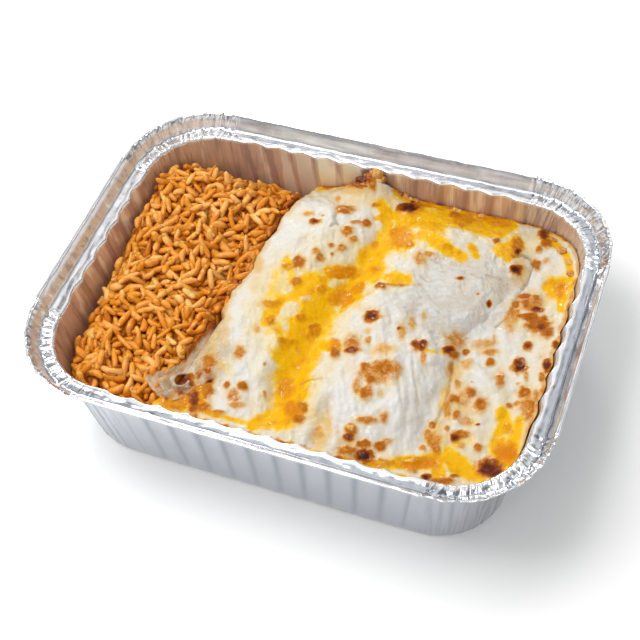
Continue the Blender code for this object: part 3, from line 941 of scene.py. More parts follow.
@dataclass(frozen=True)
class Hill:
    """A rounded rise of a surface, or a dip where its height is negative, in millimetres."""

    x: float
    y: float
    radius_x: float
    radius_y: float
    height: float

    def rise(self, x: Array, y: Array) -> Array:
        """The rise at each place, in metres."""
        across = (x / MM - self.x) / self.radius_x
        along = (y / MM - self.y) / self.radius_y
        return self.height * MM * np.exp(-(across**2) - along**2)


@dataclass(frozen=True)
class Roll:
    """One rolled tortilla that lies across the tray, leaning a little."""

    name: str
    middle: float
    half_width: float
    back_widening: float
    height: float
    squareness: float
    lean: float = 0.125
    half_length: float = 62 * MM
    shoulder: float = 22 * MM
    back_drop: float = 15 * MM
    front_drop: float = 8 * MM
    end_squareness: float = 7.0
    end_share: float = 0.72
    rows: int = 250
    columns: int = 190

    def widening(self, y: Array) -> Array:
        """How much wider it gets towards the back, shared between centre and half width."""
        return self.back_widening / 2 * smooth_step(-5 * MM, 25 * MM, y)

    def centre(self, y: Array) -> Array:
        """The x of its middle at each y."""
        return self.middle + self.lean * y + self.widening(y)

    def side(self, y: Array) -> Array:
        """Its half width at each y."""
        return self.half_width + self.widening(y)

    def crest(self, y: Array) -> Array:
        """The height of its ridge at each y."""
        inside = (self.half_length - np.abs(y)) / (20 * MM)
        drop = np.where(y > 0, self.back_drop, self.front_drop)
        return self.height - drop * (1 - smooth_step(-0.5, 1.0, inside))

    def top(self, x: Array, y: Array, cover: Array | float) -> Array:
        """The height of a cover of even thickness over it."""
        across = np.minimum(1.0, np.abs(x - self.centre(y)) / (self.side(y) + cover))
        crown = (1 - across**self.squareness) ** (1 / self.squareness)
        return self.shoulder + (self.crest(y) + cover - self.shoulder) * crown

    def underside(self, x: Array, y: Array) -> Array:
        """The lowest that something lying over it can reach: its skin, and the floor beside it."""
        over = (np.abs(x - self.centre(y)) < self.side(y)) & (np.abs(y) < self.half_length)
        return np.where(over, self.top(x, y, 0.06 * MM), FOOD_FLOOR)

    def mesh(self) -> tuple[Array, list[tuple[int, ...]]]:
        """Its skin as a closed tunnel.

        Returns:
            The vertices and the faces.
        """
        even = np.linspace(-1, 1, self.rows + 1)
        along = 0.6 * even + 0.4 * np.sin(np.pi / 2 * even)
        y = (along * (self.half_length - 0.3 * MM))[:, None]
        angle = np.pi * (1 - np.arange(self.columns + 1) / self.columns)[None, :]
        bow = np.copysign(np.abs(np.cos(angle)) ** (2 / self.squareness), np.cos(angle))
        up = np.abs(np.sin(angle)) ** (2 / self.squareness)
        share = (1 - np.abs(y / self.half_length) ** self.end_squareness) ** (1 / self.end_squareness)
        half = self.side(y) * np.maximum(self.end_share, share)
        x = self.centre(y) + half * bow
        z = self.shoulder + (self.crest(y) - self.shoulder) * up + up * skin_relief(x, y)
        z = np.concatenate((z, np.full((self.rows + 1, 2), 0.8 * MM)), axis=1)
        x = np.concatenate((x, x[:, -1:], x[:, :1]), axis=1)
        ring = np.stack((x, np.broadcast_to(y, x.shape), z), axis=-1)
        return ring.reshape(-1, 3), tube_faces(*ring.shape[:2])


@dataclass(frozen=True)
class Food:
    """The surfaces of the rice and the cheese."""

    left_roll: Roll = Roll("tortilla_left", -16.6 * MM, 23.8 * MM, 0.0, 45.5 * MM, 2.7)
    right_roll: Roll = Roll("tortilla_right", 37.0 * MM, 28.6 * MM, 10 * MM, 47.5 * MM, 3.1)
    rice_height: float = 41 * MM
    valley_height: float = 42.5 * MM
    cheese_thickness: float = 2.6 * MM
    thin_cheese: float = 1.2 * MM
    patch_centre: tuple[float, float] = (57 * MM, 20 * MM)
    patch_radii: tuple[float, float] = (14.5 * MM, 22 * MM)
    heap_by_corner: Hill = Hill(-82, 35, 20, 30, 2)
    hills: tuple[Hill, ...] = (
        Hill(-1.5, 67.5, 12, 8.5, 11),
        Hill(14, -60, 9, 9, 2.2),
        Hill(22, -58, 3, 12, -1.6),
        Hill(33, -62, 7, 8, 1.6),
        Hill(86, 18, 9, 8, 1.2),
    )

    def rice_edge(self, y: Array) -> Array:
        """Where the heap meets the left roll."""
        return self.left_roll.centre(y) - self.left_roll.side(y) - 0.3 * MM

    def cheese_edge(self, y: Array) -> Array:
        """The cheese's left edge, which leaves part of the left roll's flank bare."""
        bare = 5.5 * MM * smooth_step(-12 * MM, -24 * MM, y) * smooth_step(-66 * MM, -46 * MM, y)
        return self.rice_edge(y) + 1.6 * MM + bare

    def rice_top(self, x: Array, y: Array) -> Array:
        """The height of the heap with its loose grains.

        Args:
            x: The places along X.
            y: The places along Y.

        Returns:
            The heights.
        """
        left = BOWL.opening.half_x + x
        back = BOWL.opening.half_y - y
        height = self.rice_height + self.heap_by_corner.rise(x, y)
        sunk = smooth_step(-62 * MM, -46 * MM, x) * smooth_step(-40 * MM, -10 * MM, y)
        height = height - 3.5 * MM * sunk
        at_left = 35 * MM + 0.22 * np.minimum(y, 45 * MM)
        height = height + (at_left - height) * fall_off(left, 15 * MM)
        at_back = 20 * MM + 14 * MM * smooth_step(-66 * MM, -92 * MM, x)
        height = height + (at_back - height) * fall_off(back, 19 * MM, 1.4)
        return height + 0.9 * MM * ripple(x, y, 9 * MM, 3.1) + 0.5 * MM * ripple(x, y, 4.5 * MM, 8.7)

    def patch_distance(self, x: Array, y: Array) -> Array:
        """1 on the outline of the bare tortilla patch, less inside it and more outside.

        Args:
            x: The places along X.
            y: The places along Y.

        Returns:
            The distance, as a share of the outline's.
        """
        across = (x - self.patch_centre[0]) / self.patch_radii[0]
        along = (y - self.patch_centre[1]) / self.patch_radii[1]
        angle = np.arctan2(along, across)
        wobble = 1 + 0.07 * np.sin(2 * angle + 0.5) + 0.05 * np.sin(5 * angle)
        return np.hypot(across, along) / wobble

    def cheese_top(self, x: Array, y: Array) -> Array:
        """The height of the melted cheese: draped over both rolls, pooled between and beside them.

        Args:
            x: The places along X.
            y: The places along Y.

        Returns:
            The heights.
        """
        back = BOWL.opening.half_y - y
        right = BOWL.opening.half_x - x
        pool = self.valley_height - 6.2 * MM * fall_off(back, 15 * MM)
        pool = pool + 4.5 * MM * fall_off(right, 14 * MM) * smooth_step(56 * MM, 24 * MM, y)
        pool = pool - 5 * MM * smooth_step(5 * MM, -25 * MM, x) * smooth_step(48 * MM, 62 * MM, y)
        pool = pool + 2 * MM * smooth_step(-52 * MM, -68 * MM, y)
        away = self.patch_distance(x, y)
        cover = self.thin_cheese * smooth_step(0.85, 1.3, away)
        cover = cover + (self.cheese_thickness - self.thin_cheese) * smooth_step(0.95, 1.5, away)
        surfaces = [pool, self.left_roll.top(x, y, cover), self.right_roll.top(x, y, cover)]
        height = smooth_max(surfaces, 1.6 * MM) + sum(hill.rise(x, y) for hill in self.hills)
        return height + 0.7 * MM * ripple(x, y, 17 * MM, 1.4) + 0.35 * MM * ripple(x, y, 8 * MM, 6.2)


FOOD = Food()
CAMERA = PhotoCamera()


class End(Enum):
    """An end of the tray, as the sign of its X."""

    RICE = -1
    CHEESE = 1


@dataclass(frozen=True)
class Bed:
    """A grid over the food between an inner edge and one end of the tray, following the fluted wall."""

    end: End
    inner_edge: Callable[[Array], Array]
    rows: int
    columns: int
    corner_columns: int
    edge: Outline = Outline(99.1 * MM, 70.95 * MM, 27.7 * MM)
    foot: Outline = Outline(91.3 * MM, 69.0 * MM, 26.4 * MM)
    bulge_reach: float = 5 * MM

    def plan(self, outline: Outline, flute_share: float, thinned: int = 1) -> tuple[Array, Array]:
        """The grid's places, in rows along +X that follow each other along +Y.

        Args:
            outline: The level outline that it fills.
            flute_share: How much of the wall's flutes it fills.
            thinned: Which rows and columns to keep: every one, or every second one.

        Returns:
            The x and the y of each place.
        """
        share = np.linspace(-1, 1, self.rows + 1)[::thinned, None]
        straight = outline.half_x - outline.radius
        flat_y = share * outline.half_y
        inner = self.inner_edge(flat_y) * self.end.value
        along = np.linspace(0, 1, self.columns + 1)[None, ::thinned][:, :-1]
        flat_x = inner + (straight - inner) * along
        turn = np.linspace(0, np.pi / 2, self.corner_columns + 1)[None, ::thinned]
        corner_x = straight + outline.radius * np.sin(turn) + 0 * share
        corner_y = share * (outline.half_y - outline.radius * (1 - np.cos(turn)))
        x = np.concatenate((flat_x, corner_x), axis=1)
        y = np.concatenate((flat_y + 0 * flat_x, corner_y), axis=1)
        side_y = np.concatenate((outline.half_y + 0 * along, corner_y[-1:]), axis=1)
        near_side = smooth_step(self.bulge_reach, 0.0, side_y - np.abs(y))
        near_end = smooth_step(self.bulge_reach, 0.0, outline.right_at(y) - x)
        bulge_y = BOWL.flute(x, BOWL.long_side_flutes) * near_side * np.sign(y)
        bulge_x = BOWL.flute(y, BOWL.short_side_flutes) * near_end
        x, y = x + bulge_x * flute_share, y + bulge_y * flute_share
        if self.end is End.RICE:
            return -x[:, ::-1], y[:, ::-1]
        return x, y

    def block(
        self, name: str, places: tuple[Array, Array, Array], under: Height, values: dict[str, Array]
    ) -> bpy.types.Object:
        """Makes the closed block under a top surface.

        Args:
            name: The object's name.
            places: The x, y and z of the top's grid.
            under: The height of the underside at each place.
            values: Numbers to store over the top.

        Returns:
            The object.
        """
        rows, columns = places[0].shape
        low_x, low_y = self.plan(self.foot, BOWL.foot_flute_share, 2)
        low_z = np.minimum(under(low_x, low_y), places[2][::2, ::2] - 0.3 * MM)
        top = np.stack((*BOWL.kept_inside(*places), places[2]), axis=-1).reshape(-1, 3)
        low = np.stack((*BOWL.kept_inside(low_x, low_y, low_z), low_z), axis=-1).reshape(-1, 3)
        low_rows, low_columns = low_x.shape
        faces = grid_faces(rows, columns)
        faces += [face[::-1] for face in grid_faces(low_rows, low_columns, first=len(top))]
        upper = np.arange(rows * columns).reshape(rows, columns)
        lower = len(top) + np.arange(low_rows * low_columns).reshape(low_rows, low_columns)
        rims = (
            (upper[0], lower[0]),
            (upper[:, -1], lower[:, -1]),
            (upper[-1, ::-1], lower[-1, ::-1]),
            (upper[::-1, 0], lower[::-1, 0]),
        )
        for high, deep in rims:
            for step in range(len(deep) - 1):
                first = 2 * step
                faces.append((deep[step], deep[step + 1], high[first + 2], high[first + 1], high[first]))
        hidden = np.zeros(len(low))
        stored = {key: np.concatenate((numbers.ravel(), hidden)) for key, numbers in values.items()}
        return mesh_object(name, np.concatenate((top, low)), faces, stored)


@dataclass(frozen=True)
class FoilRing:
    """One ring round the tray's sheet of foil, and how the foil is worked there.

    Lengths are in metres, the rest are shares. left_stain grows towards -X, front_painted_shade is painted
    shade that grows towards the front and +X, dim is painted shade all round, and pale counts at the back.
    level is the row of the pleats' noise, if not the ring's number.
    """

    outline: Outline
    height: float
    outset: float = 0.0
    flute: float = 0.0
    hem_out: float = 0.0
    hem_up: float = 0.0
    pleat_out: float = 0.0
    pleat_up: float = 0.0
    dent: float = 0.0
    stain: float = 0.0
    left_stain: float = 0.0
    front_painted_shade: float = 0.0
    pale: float = 0.0
    dim: float = 0.0
    level: float | None = None


@dataclass
class FoilTray:
    """The stamped tray: base, fluted wall, ledge, flared flange and the hemmed flaps along its sides."""

    foil: float = 0.5 * MM
    ledge_width: float = 6 * MM
    flange_run: float = 4.2 * MM
    flange_rise: float = 6 * MM
    hem_thickness: float = 1.1 * MM
    hem_rise: float = 0.7 * MM
    hem_drop_share: float = 0.45
    hem_end_share: float = 0.985
    step: float = 0.8 * MM
    corner_steps: int = 150
    pleat_width: float = 2.1 * MM
    # Each band: its share up the flange, its stain towards -X, and its painted shade.
    flange_bands: tuple[tuple[float, float, float], ...] = (
        (0.03, 0.3, 0.8), (0.1, 0.3, 0.8), (0.2, 0.9, 0.2), (0.33, 0.9, 0.0), (0.46, 0.95, 0.1),
        (0.58, 0.8, 0.8), (0.68, 0.3, 0.3), (0.78, 0.1, 0.3), (0.88, 0.2, 0.9), (0.97, 0.0, 0.0),
    )
    finish: FoilFinish = field(default_factory=FoilFinish)

    def steps(self) -> dict[str, Array]:
        """Lays out the places round the tray, counter-clockwise from the middle of the +X side.

        Returns:
            For each place its side's turn, its share of the straight stretch, its angle on the corner,
            its phase in the flutes, how much it belongs to a flute, a hemmed flap and a corner, and
            how far round the tray it lies.
        """
        angle = np.linspace(0, np.pi / 2, self.corner_steps + 1)[1:-1]
        none, whole = np.zeros(len(angle)), np.ones(len(angle))
        run = 0.0
        parts: list[dict[str, Array]] = []
        for quarter in range(4):
            is_short = quarter % 2 == 0
            turn = quarter * np.pi / 2
            straight = (BOWL.opening.half_y if is_short else BOWL.opening.half_x) - BOWL.opening.radius
            flutes = BOWL.short_side_flutes if is_short else BOWL.long_side_flutes
            flap = straight * self.hem_end_share
            evenly = np.linspace(-straight, straight, 2 * round(straight / self.step) + 1)
            ends = [-flap, -flap + 0.5 * MM, flap - 0.5 * MM, flap]
            along = np.unique(np.concatenate((evenly, ends)))
            phase = (along + flutes * BOWL.flute_pitch / 2) / BOWL.flute_pitch
            side = {
                "turn": np.full(len(along), turn),
                "share": along / straight,
                "angle": np.zeros(len(along)),
                "phase": phase,
                "fluted": ((phase >= 0) & (phase <= flutes)).astype(float),
                "hem": smooth_step(flap, flap - 0.5 * MM, np.abs(along)),
                "corner": smooth_step(5 * MM, 0.0, straight - np.abs(along)),
                "run": run + straight + along,
            }
            corner = dict.fromkeys(side, none) | {"share": whole, "angle": angle, "corner": whole}
            corner |= {"turn": none + turn, "run": run + 2 * straight + angle * BOWL.opening.radius}
            parts += [side, corner]
            run += 2 * straight + np.pi / 2 * BOWL.opening.radius
        return {key: np.concatenate([part[key] for part in parts]) for key in parts[0]}

    def wall_ring(self, height: float, outset: float = 0.0, **work: float) -> FoilRing:
        """A ring on the wall at a height, for either face of the foil.

        Args:
            height: The ring's height.
            outset: How far outside the inner face it lies.
            work: How the foil is worked there, as in FoilRing.

        Returns:
            The ring.
        """
        foot = self.foil + BOWL.fillet
        rise = max(0.0, (height - foot) / (BOWL.ledge_height - foot))
        flute = BOWL.foot_flute_share + (1 - BOWL.foot_flute_share) * rise
        wall = {"level": height / (50 * MM), "pleat_out": 0.4 * MM, "dent": 0.16 * MM}
        return FoilRing(BOWL.wall(height), height, outset, flute, **wall, **work)

    def flange_ring(self, share: float, down: float = 0.0, out: float = 0.0, **work: float) -> FoilRing:
        """A ring at a share of the flange's rise, or moved down and outwards from there.

        Args:
            share: How far up the flange.
            down: How far below that place.
            out: How far outside it.
            work: How the foil is worked there, as in FoilRing.

        Returns:
            The ring.
        """
        height = BOWL.ledge_height + self.flange_rise * share - down
        outline = BOWL.opening.grown(self.ledge_width)
        return FoilRing(outline, height, self.flange_run * share + out, **work)

    def inside(self) -> list[FoilRing]:
        """The rings of the inner face, from the base's edge to the rim.

        Returns:
            The rings.
        """
        base, opening = BOWL.wall(0), BOWL.opening
        heights = (3.5, 14, 24, 30, 33, 35.5, 38, 40.5, 43, 45, 47, 48.6)
        lips = ((0.25, 50.25, 1.0), (0.7, 50.5, 0.9), (1.4, 50.55, 0.7), (2.2, 50.5, 0.45))
        lip = {"pleat_out": 0.3 * MM, "pleat_up": 0.35 * MM, "dent": 0.2 * MM, "stain": 0.1}
        ledges = ((3.0, 50.45), (3.8, 50.4), (4.6, 50.4), (5.3, 50.45))
        # Painted shade on the ledge, stronger towards the front and +X.
        ledge = {"pleat_up": 0.5 * MM, "dent": 0.42 * MM, "front_painted_shade": 0.8, "dim": 0.1}
        rings = [
            FoilRing(base, self.foil, -BOWL.fillet),
            FoilRing(base, self.foil + 0.3 * BOWL.fillet, -0.3 * BOWL.fillet),
            *(self.wall_ring(height * MM, stain=0.75, left_stain=0.15) for height in heights),
            self.wall_ring(49.7 * MM, stain=0.5),
            *(FoilRing(opening, height * MM, out * MM, flute, **lip) for out, height, flute in lips),
            *(FoilRing(opening, height * MM, out * MM, 0.1, **ledge) for out, height in ledges),
        ]
        flange = {"pleat_up": -0.25 * MM, "dent": 0.25 * MM, "pale": 1.0}
        for share, stain, shadow in self.flange_bands:
            hem = {"hem_up": self.hem_rise * share, "pleat_out": (0.4 + 0.2 * share) * MM}
            rings.append(self.flange_ring(share, **hem, **flange, left_stain=stain, dim=0.6 * shadow))
        return rings

    def rim(self) -> list[FoilRing]:
        """The rings over the rolled edge, which is thicker along the flaps.

        Returns:
            The rings.
        """
        radius, extra = self.foil / 2, (self.hem_thickness - self.foil) / 2
        rings = []
        for degrees in (180, 135, 90, 45, 0):
            out, up = math.cos(math.radians(degrees)) + 1, math.sin(math.radians(degrees))
            work = {"hem_out": extra * out, "hem_up": self.hem_rise - extra + extra * up, "pale": 1.0}
            place = (1.0, radius - radius * up, radius * out)
            rings.append(self.flange_ring(*place, pleat_out=0.48 * MM, dent=0.22 * MM, **work))
        return rings

    def outside(self) -> list[FoilRing]:
        """The rings of the outer face, from the rim to the base's edge.

        Returns:
            The rings.
        """
        foot = 1 - self.hem_drop_share
        extra = self.hem_thickness - self.foil
        rings = []
        for share, out in ((0.9, 1.0), (0.75, 1.1), (foot + 0.06, 1.0), (foot, 0.55), (foot - 0.03, 0.0)):
            hem = {"hem_out": extra * out, "hem_up": self.hem_rise * max(0.0, share - foot)}
            work = {"pleat_out": 0.4 * MM, "dent": 0.22 * MM}
            rings.append(self.flange_ring(share, 0.0, self.foil, **hem, **work))
        for share in (0.35, 0.15):
            place = (share, self.foil * 0.5, self.foil * 0.9)
            rings.append(self.flange_ring(*place, pleat_out=0.25 * MM, dent=0.2 * MM))
        rings.append(self.flange_ring(0.0, self.foil, self.foil * 0.7, pleat_up=0.15 * MM, dent=0.2 * MM))
        opening, underside = BOWL.opening, BOWL.ledge_height - self.foil
        for out in (4.6, 3.2, 2.0):
            rings.append(FoilRing(opening, underside, out * MM, 0.25, pleat_up=0.25 * MM, dent=0.18 * MM))
        bend = (underside - 0.1 * MM, self.foil + 0.5 * MM)
        rings.append(FoilRing(opening, *bend, 0.9, pleat_up=0.2 * MM))
        # The outer wall gets painted shade.
        for height in (49.2, 47, 43, 38, 32, 26, 20, 14, 9, 5.5, 3.5):
            rings.append(self.wall_ring(height * MM, self.foil, dim=0.75))
        for degrees in (25, 50, 75, 90):
            across, down = math.cos(math.radians(degrees)), math.sin(math.radians(degrees))
            height = self.foil + BOWL.fillet - (BOWL.fillet + self.foil) * down
            outset = self.foil * across - BOWL.fillet * (1 - across)
            flute = BOWL.foot_flute_share * (1 - down)
            rings.append(FoilRing(BOWL.wall(0), height, outset, flute, pleat_out=0.3 * MM * across))
        return rings

    def build(self) -> bpy.types.Object:
        """Makes the tray's sheet and lets the flute press work it.

        Returns:
            The tray.
        """
        steps = self.steps()
        rings = self.inside() + self.rim() + self.outside()
        cos_turn, sin_turn = np.cos(steps["turn"]), np.sin(steps["turn"])
        cos_angle, sin_angle = np.cos(steps["angle"]), np.sin(steps["angle"])
        outward_x = cos_turn * cos_angle - sin_turn * sin_angle
        outward_y = sin_turn * cos_angle + cos_turn * sin_angle
        outward = np.stack((outward_x, outward_y), axis=-1)
        is_short = np.round(steps["turn"] / (np.pi / 2)) % 2 == 0
        run = steps["run"]
        to_back = smooth_step(0.3, 0.9, outward[:, 1]) * (1 - steps["corner"])
        to_left = ((1 - outward[:, 0]) / 2) ** 1.3
        to_front_or_right = np.maximum(outward[:, 0] + 0.8 * outward[:, 1], -1.1 * outward[:, 1])
        to_front_or_right = np.clip(to_front_or_right, 0.0, 1.0)
        layers: dict[str, list[Array]] = {}
        for number, ring in enumerate(rings):
            outline = ring.outline
            across = np.full(run.shape, number * 0.07 if ring.level is None else ring.level)
            fold = speckle(run / self.pleat_width + across, across, 3)
            crease = np.exp(-((fold / 0.16) ** 2)) * (0.6 + 0.5 * speckle(run / (5 * MM), across, 4))
            pleat = (0.8 * fold - 1.1 * crease) * steps["corner"]
            reach = np.where(is_short, outline.half_x, outline.half_y)
            half_side = np.where(is_short, outline.half_y, outline.half_x)
            forward = reach - outline.radius
            sideways = (half_side - outline.radius) * steps["share"]
            uneven = ring.dent * speckle(run / (7 * MM), 5 * across, 11)
            uneven = uneven + 0.3 * ring.dent * speckle(run / (2.6 * MM) + 3 * across, 4 * across, 12)
            out = outline.radius + ring.outset + ring.hem_out * steps["hem"] + ring.pleat_out * pleat
            on_wall = ring.flute > 0.2
            out = out + (uneven if on_wall or ring.pleat_out else 0.0)
            up = ring.height + ring.hem_up * steps["hem"] + ring.pleat_up * pleat
            up = up + (0.0 if on_wall else 0.5 * uneven)
            x = cos_turn * forward - sin_turn * sideways + outward[:, 0] * out
            y = sin_turn * forward + cos_turn * sideways + outward[:, 1] * out
            silver = np.clip(0.5 + 0.6 * speckle(run / (16 * MM), 9 * across, 21), 0, 1)
            blocks = smooth_step(-0.1, 0.3, speckle(run / (4.5 * MM), 0.3 * across, 13))
            is_pleated = ring.pleat_out + ring.pleat_up > 0.25 * MM
            # Painted shade: blocks along the ledges, and streaks in the corners' pleat creases.
            painted_shade_strokes = ring.front_painted_shade * 0.45 * blocks * (1 - steps["corner"])
            painted_shade_strokes = painted_shade_strokes + np.clip(crease, 0, 1) * steps["corner"] * is_pleated
            worked = {
                "points": np.stack((x, y, np.maximum(up, 0.0)), axis=-1),
                "flute_phase": steps["phase"],
                "flute_share": ring.flute * steps["fluted"],
                "outward": np.concatenate((outward, 0 * outward[:, :1]), axis=1),
                "stain": ring.stain + ring.left_stain * to_left,
                # cream: a lighter band of painted sheen on the back wall's flutes, left of the crust.
                "cream": smooth_step(-52 * MM, -42 * MM, x) * smooth_step(-2 * MM, -12 * MM, x) * (y > 0),
                # dim: painted shade.
                "dim": np.minimum(1.0, ring.dim + ring.front_painted_shade * to_front_or_right + 0.9 * painted_shade_strokes),
                "pale": ring.pale * to_back * silver,
            }
            for key, numbers in worked.items():
                layers.setdefault(key, []).append(numbers)
        values = {key: np.concatenate(numbers) for key, numbers in layers.items()}
        points = values.pop("points")
        faces = [face[::-1] for face in tube_faces(len(rings), len(run))]
        sheet = mesh_object("foil_sheet", points, faces, values)
        give_tree(sheet, flute_tree(), {"Depth": BOWL.flute_depth, "Material": self.finish.build()})
        tray = settle_mesh(sheet, "foil_tray_crinkled")
        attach(tray, "root")
        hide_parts("foil_tray")
        return tray


@dataclass(frozen=True)
class Spot:
    """A browned or coloured spot, at a pixel of the photograph, with its half widths in pixels."""

    column: float
    row: float
    wide: float
    tall: float
    tone: float


@dataclass(frozen=True)
class Streak:
    """A coloured streak through pixels of the photograph, each with its half width in pixels."""

    stops: tuple[tuple[float, float, float], ...]
    tone: float


def spot_mask(
    marks: Sequence[Spot], column: Array, row: Array, waver: Array, soft: float = 0.6, rim: float = 0.0
) -> Array:
    """How strongly spots mark each place.

    Args:
        marks: The spots.
        column: The pixel columns of the places.
        row: The pixel rows of the places.
        waver: Unevenness that the spots' edges follow.
        soft: How wide their edges are, as a share of their size.
        rim: How much weaker the middle of a lighter spot is than its rim.

    Returns:
        The strongest tone at each place.
    """
    mask = np.zeros(column.shape)
    for spot in marks:
        distance = np.hypot((column - spot.column) / spot.wide, (row - spot.row) / spot.tall)
        near = distance < 2.5
        edge = distance[near] + waver[near] * 0.3
        pale_middle = 1 - rim * (spot.tone < 0.7) * np.exp(-((edge / 0.55) ** 2))
        strength = spot.tone * pale_middle * smooth_step(1 + soft, 1 - soft, edge)
        mask[near] = np.maximum(mask[near], strength)
    return mask


def streak_mask(
    marks: Sequence[Streak], column: Array, row: Array, waver: Array, spread: float = 1.0, soft: float = 0.5
) -> Array:
    """How strongly streaks mark each place.

    Args:
        marks: The streaks.
        column: The pixel columns of the places.
        row: The pixel rows of the places.
        waver: Unevenness that the streaks' edges follow.
        spread: How much wider than given the streaks are read.
        soft: How wide their edges are, as a share of their width.

    Returns:
        The strongest tone at each place.
    """
    mask = np.zeros(column.shape)
    for streak in marks:
        for (x0, y0, w0), (x1, y1, w1) in zip(streak.stops, streak.stops[1:]):
            length = (x1 - x0) ** 2 + (y1 - y0) ** 2
            share = np.clip(((column - x0) * (x1 - x0) + (row - y0) * (y1 - y0)) / length, 0, 1)
            gap = np.hypot(column - x0 - (x1 - x0) * share, row - y0 - (y1 - y0) * share)
            edge = gap / (w0 + (w1 - w0) * share) / spread + waver * 0.25
            mask = np.maximum(mask, streak.tone * smooth_step(1 + soft, 1 - soft, edge))
    return mask


def streaks(*rows: tuple) -> tuple[Streak, ...]:
    """Streaks from rows that hold a tone and then the stops."""
    return tuple(Streak(tuple(stops), tone) for tone, *stops in rows)


def spots(*rows: tuple[float, float, float, float, float]) -> tuple[Spot, ...]:
    """Spots from rows of column, row, half width, half height and tone."""
    return tuple(Spot(*row) for row in rows)


YELLOW_STREAKS = streaks(
    (1.0, (376, 218, 2), (392, 215, 4), (408, 218, 7), (424, 219, 11), (433, 224, 12)),
    (1.0, (400, 226, 8), (402, 236, 12), (407, 243, 7)),
    (1.0, (392, 240, 7), (378, 250, 9), (370, 262, 11), (372, 270, 12), (360, 275, 8)),
    (0.9, (330, 272, 6), (342, 272, 6.5), (353, 272, 7)),
    (1.0, (356, 281, 8), (352, 292, 10), (338, 296, 12), (322, 290, 13), (310, 284, 10), (300, 290, 7)),
    (0.8, (294, 297, 7), (280, 302, 6), (272, 312, 7), (266, 321, 5)),
    (1.0, (322, 306, 16), (308, 322, 20), (303, 332, 23), (300, 346, 20), (295, 358, 18), (293, 373, 16)),
    (1.0, (293, 373, 16), (290, 391, 15), (290, 405, 15), (284, 416, 11), (268, 421, 8), (252, 425, 5)),
    (0.9, (322, 344, 6), (334, 347, 6)),
    (0.9, (425, 234, 7), (438, 241, 6), (450, 249, 5), (462, 257, 5)),
    (1.0, (448, 216, 7), (462, 221, 7), (480, 225, 9), (497, 227, 9), (512, 225, 6)),
    (0.8, (471, 245, 3.5), (477, 256, 3)),
    (0.9, (499, 247, 6), (508, 250, 8), (516, 245, 8), (509, 257, 4)),
    (1.0, (548, 286, 5), (557, 288, 10), (563, 284, 9), (562, 298, 6), (561, 308, 3)),
    (0.85, (386, 278, 4), (397, 278, 6), (407, 280, 5)),
    (0.9, (503, 414, 6), (505, 426, 7), (498, 433, 4)),
    (1.0, (500, 448, 10), (508, 455, 10), (504, 462, 8)),
    (1.0, (450, 456, 8), (458, 464, 10), (468, 472, 7), (480, 476, 6)),
    (0.85, (402, 462, 6), (420, 463, 7), (437, 460, 8), (440, 475, 6)),
    (1.0, (400, 192, 6), (420, 199, 6), (440, 204, 6), (458, 210, 6), (482, 213, 4), (500, 217, 5),
     (527, 219, 3)),
    (0.45, (304, 190, 3), (324, 189, 3)),
    (0.9, (548, 237, 3), (558, 246, 3), (566, 254, 3), (570, 267, 3), (571, 280, 3)),
    (0.3, (455, 358, 5), (445, 396, 4), (438, 418, 5), (430, 440, 7)),
    (0.5, (425, 351, 2), (445, 354, 2)),
    (0.95, (160, 396, 9), (180, 401, 10), (194, 399, 10), (205, 386, 6)),
    (0.7, (196, 410, 3), (214, 414, 3), (236, 420, 3), (262, 427, 3)),
    (0.35, (214, 330, 5), (212, 350, 6), (222, 366, 5)),
    (0.6, (300, 290, 7), (292, 277, 6), (288, 262, 6)),
    (0.85, (520, 420, 4), (515, 438, 7), (509, 452, 8)),
    (0.8, (384, 238, 7), (390, 228, 7), (382, 205, 6)),
    (0.7, (352, 468, 4), (372, 466, 5), (400, 464, 5)),
    (0.42, (282, 276, 10), (273, 300, 12), (271, 330, 8)),
    (0.45, (455, 445, 6), (468, 440, 7)),
)
CREAM_GAPS = spots(
    (214, 409, 5, 1.6, 0.8), (228, 412, 7, 1.8, 0.8), (240, 416, 8, 1.6, 0.7), (218, 419, 6, 1.3, 0.6),
    (290, 309, 9, 7, 0.75), (286, 325, 4, 7, 0.6), (333, 284, 6, 4, 0.8), (312, 298, 4, 3, 0.4),
    (412, 460, 9, 1.6, 0.6),
)
ORANGE_SPOTS = spots(
    (180, 400, 26, 14, 1.0), (204, 388, 8, 12, 0.7), (222, 416, 20, 3, 0.5),
    (342, 272, 16, 8, 1.0), (401, 237, 14, 12, 0.8), (374, 244, 5, 4, 0.7), (375, 269, 5, 4, 0.7),
    (358, 289, 9, 7, 0.9), (342, 299, 12, 10, 1.0), (314, 330, 8, 8, 0.7), (300, 318, 5, 5, 0.6),
    (335, 350, 8, 9, 0.8), (286, 388, 10, 10, 0.8), (296, 410, 14, 12, 0.9), (286, 341, 9, 4, 0.5),
    (276, 303, 10, 4, 0.7), (409, 208, 14, 8, 0.7), (430, 202, 32, 5, 1.0), (490, 215, 36, 4, 0.9),
    (466, 219, 15, 6, 0.9), (500, 221, 14, 6, 0.8), (517, 246, 8, 9, 0.9), (560, 288, 9, 12, 0.7),
    (508, 452, 14, 13, 0.95), (418, 464, 24, 9, 0.9), (441, 480, 22, 4, 1.0), (455, 340, 9, 9, 0.6),
    (509, 322, 6, 10, 0.5), (507, 427, 5, 5, 0.6), (447, 245, 9, 4, 0.5), (432, 436, 9, 14, 0.9),
)
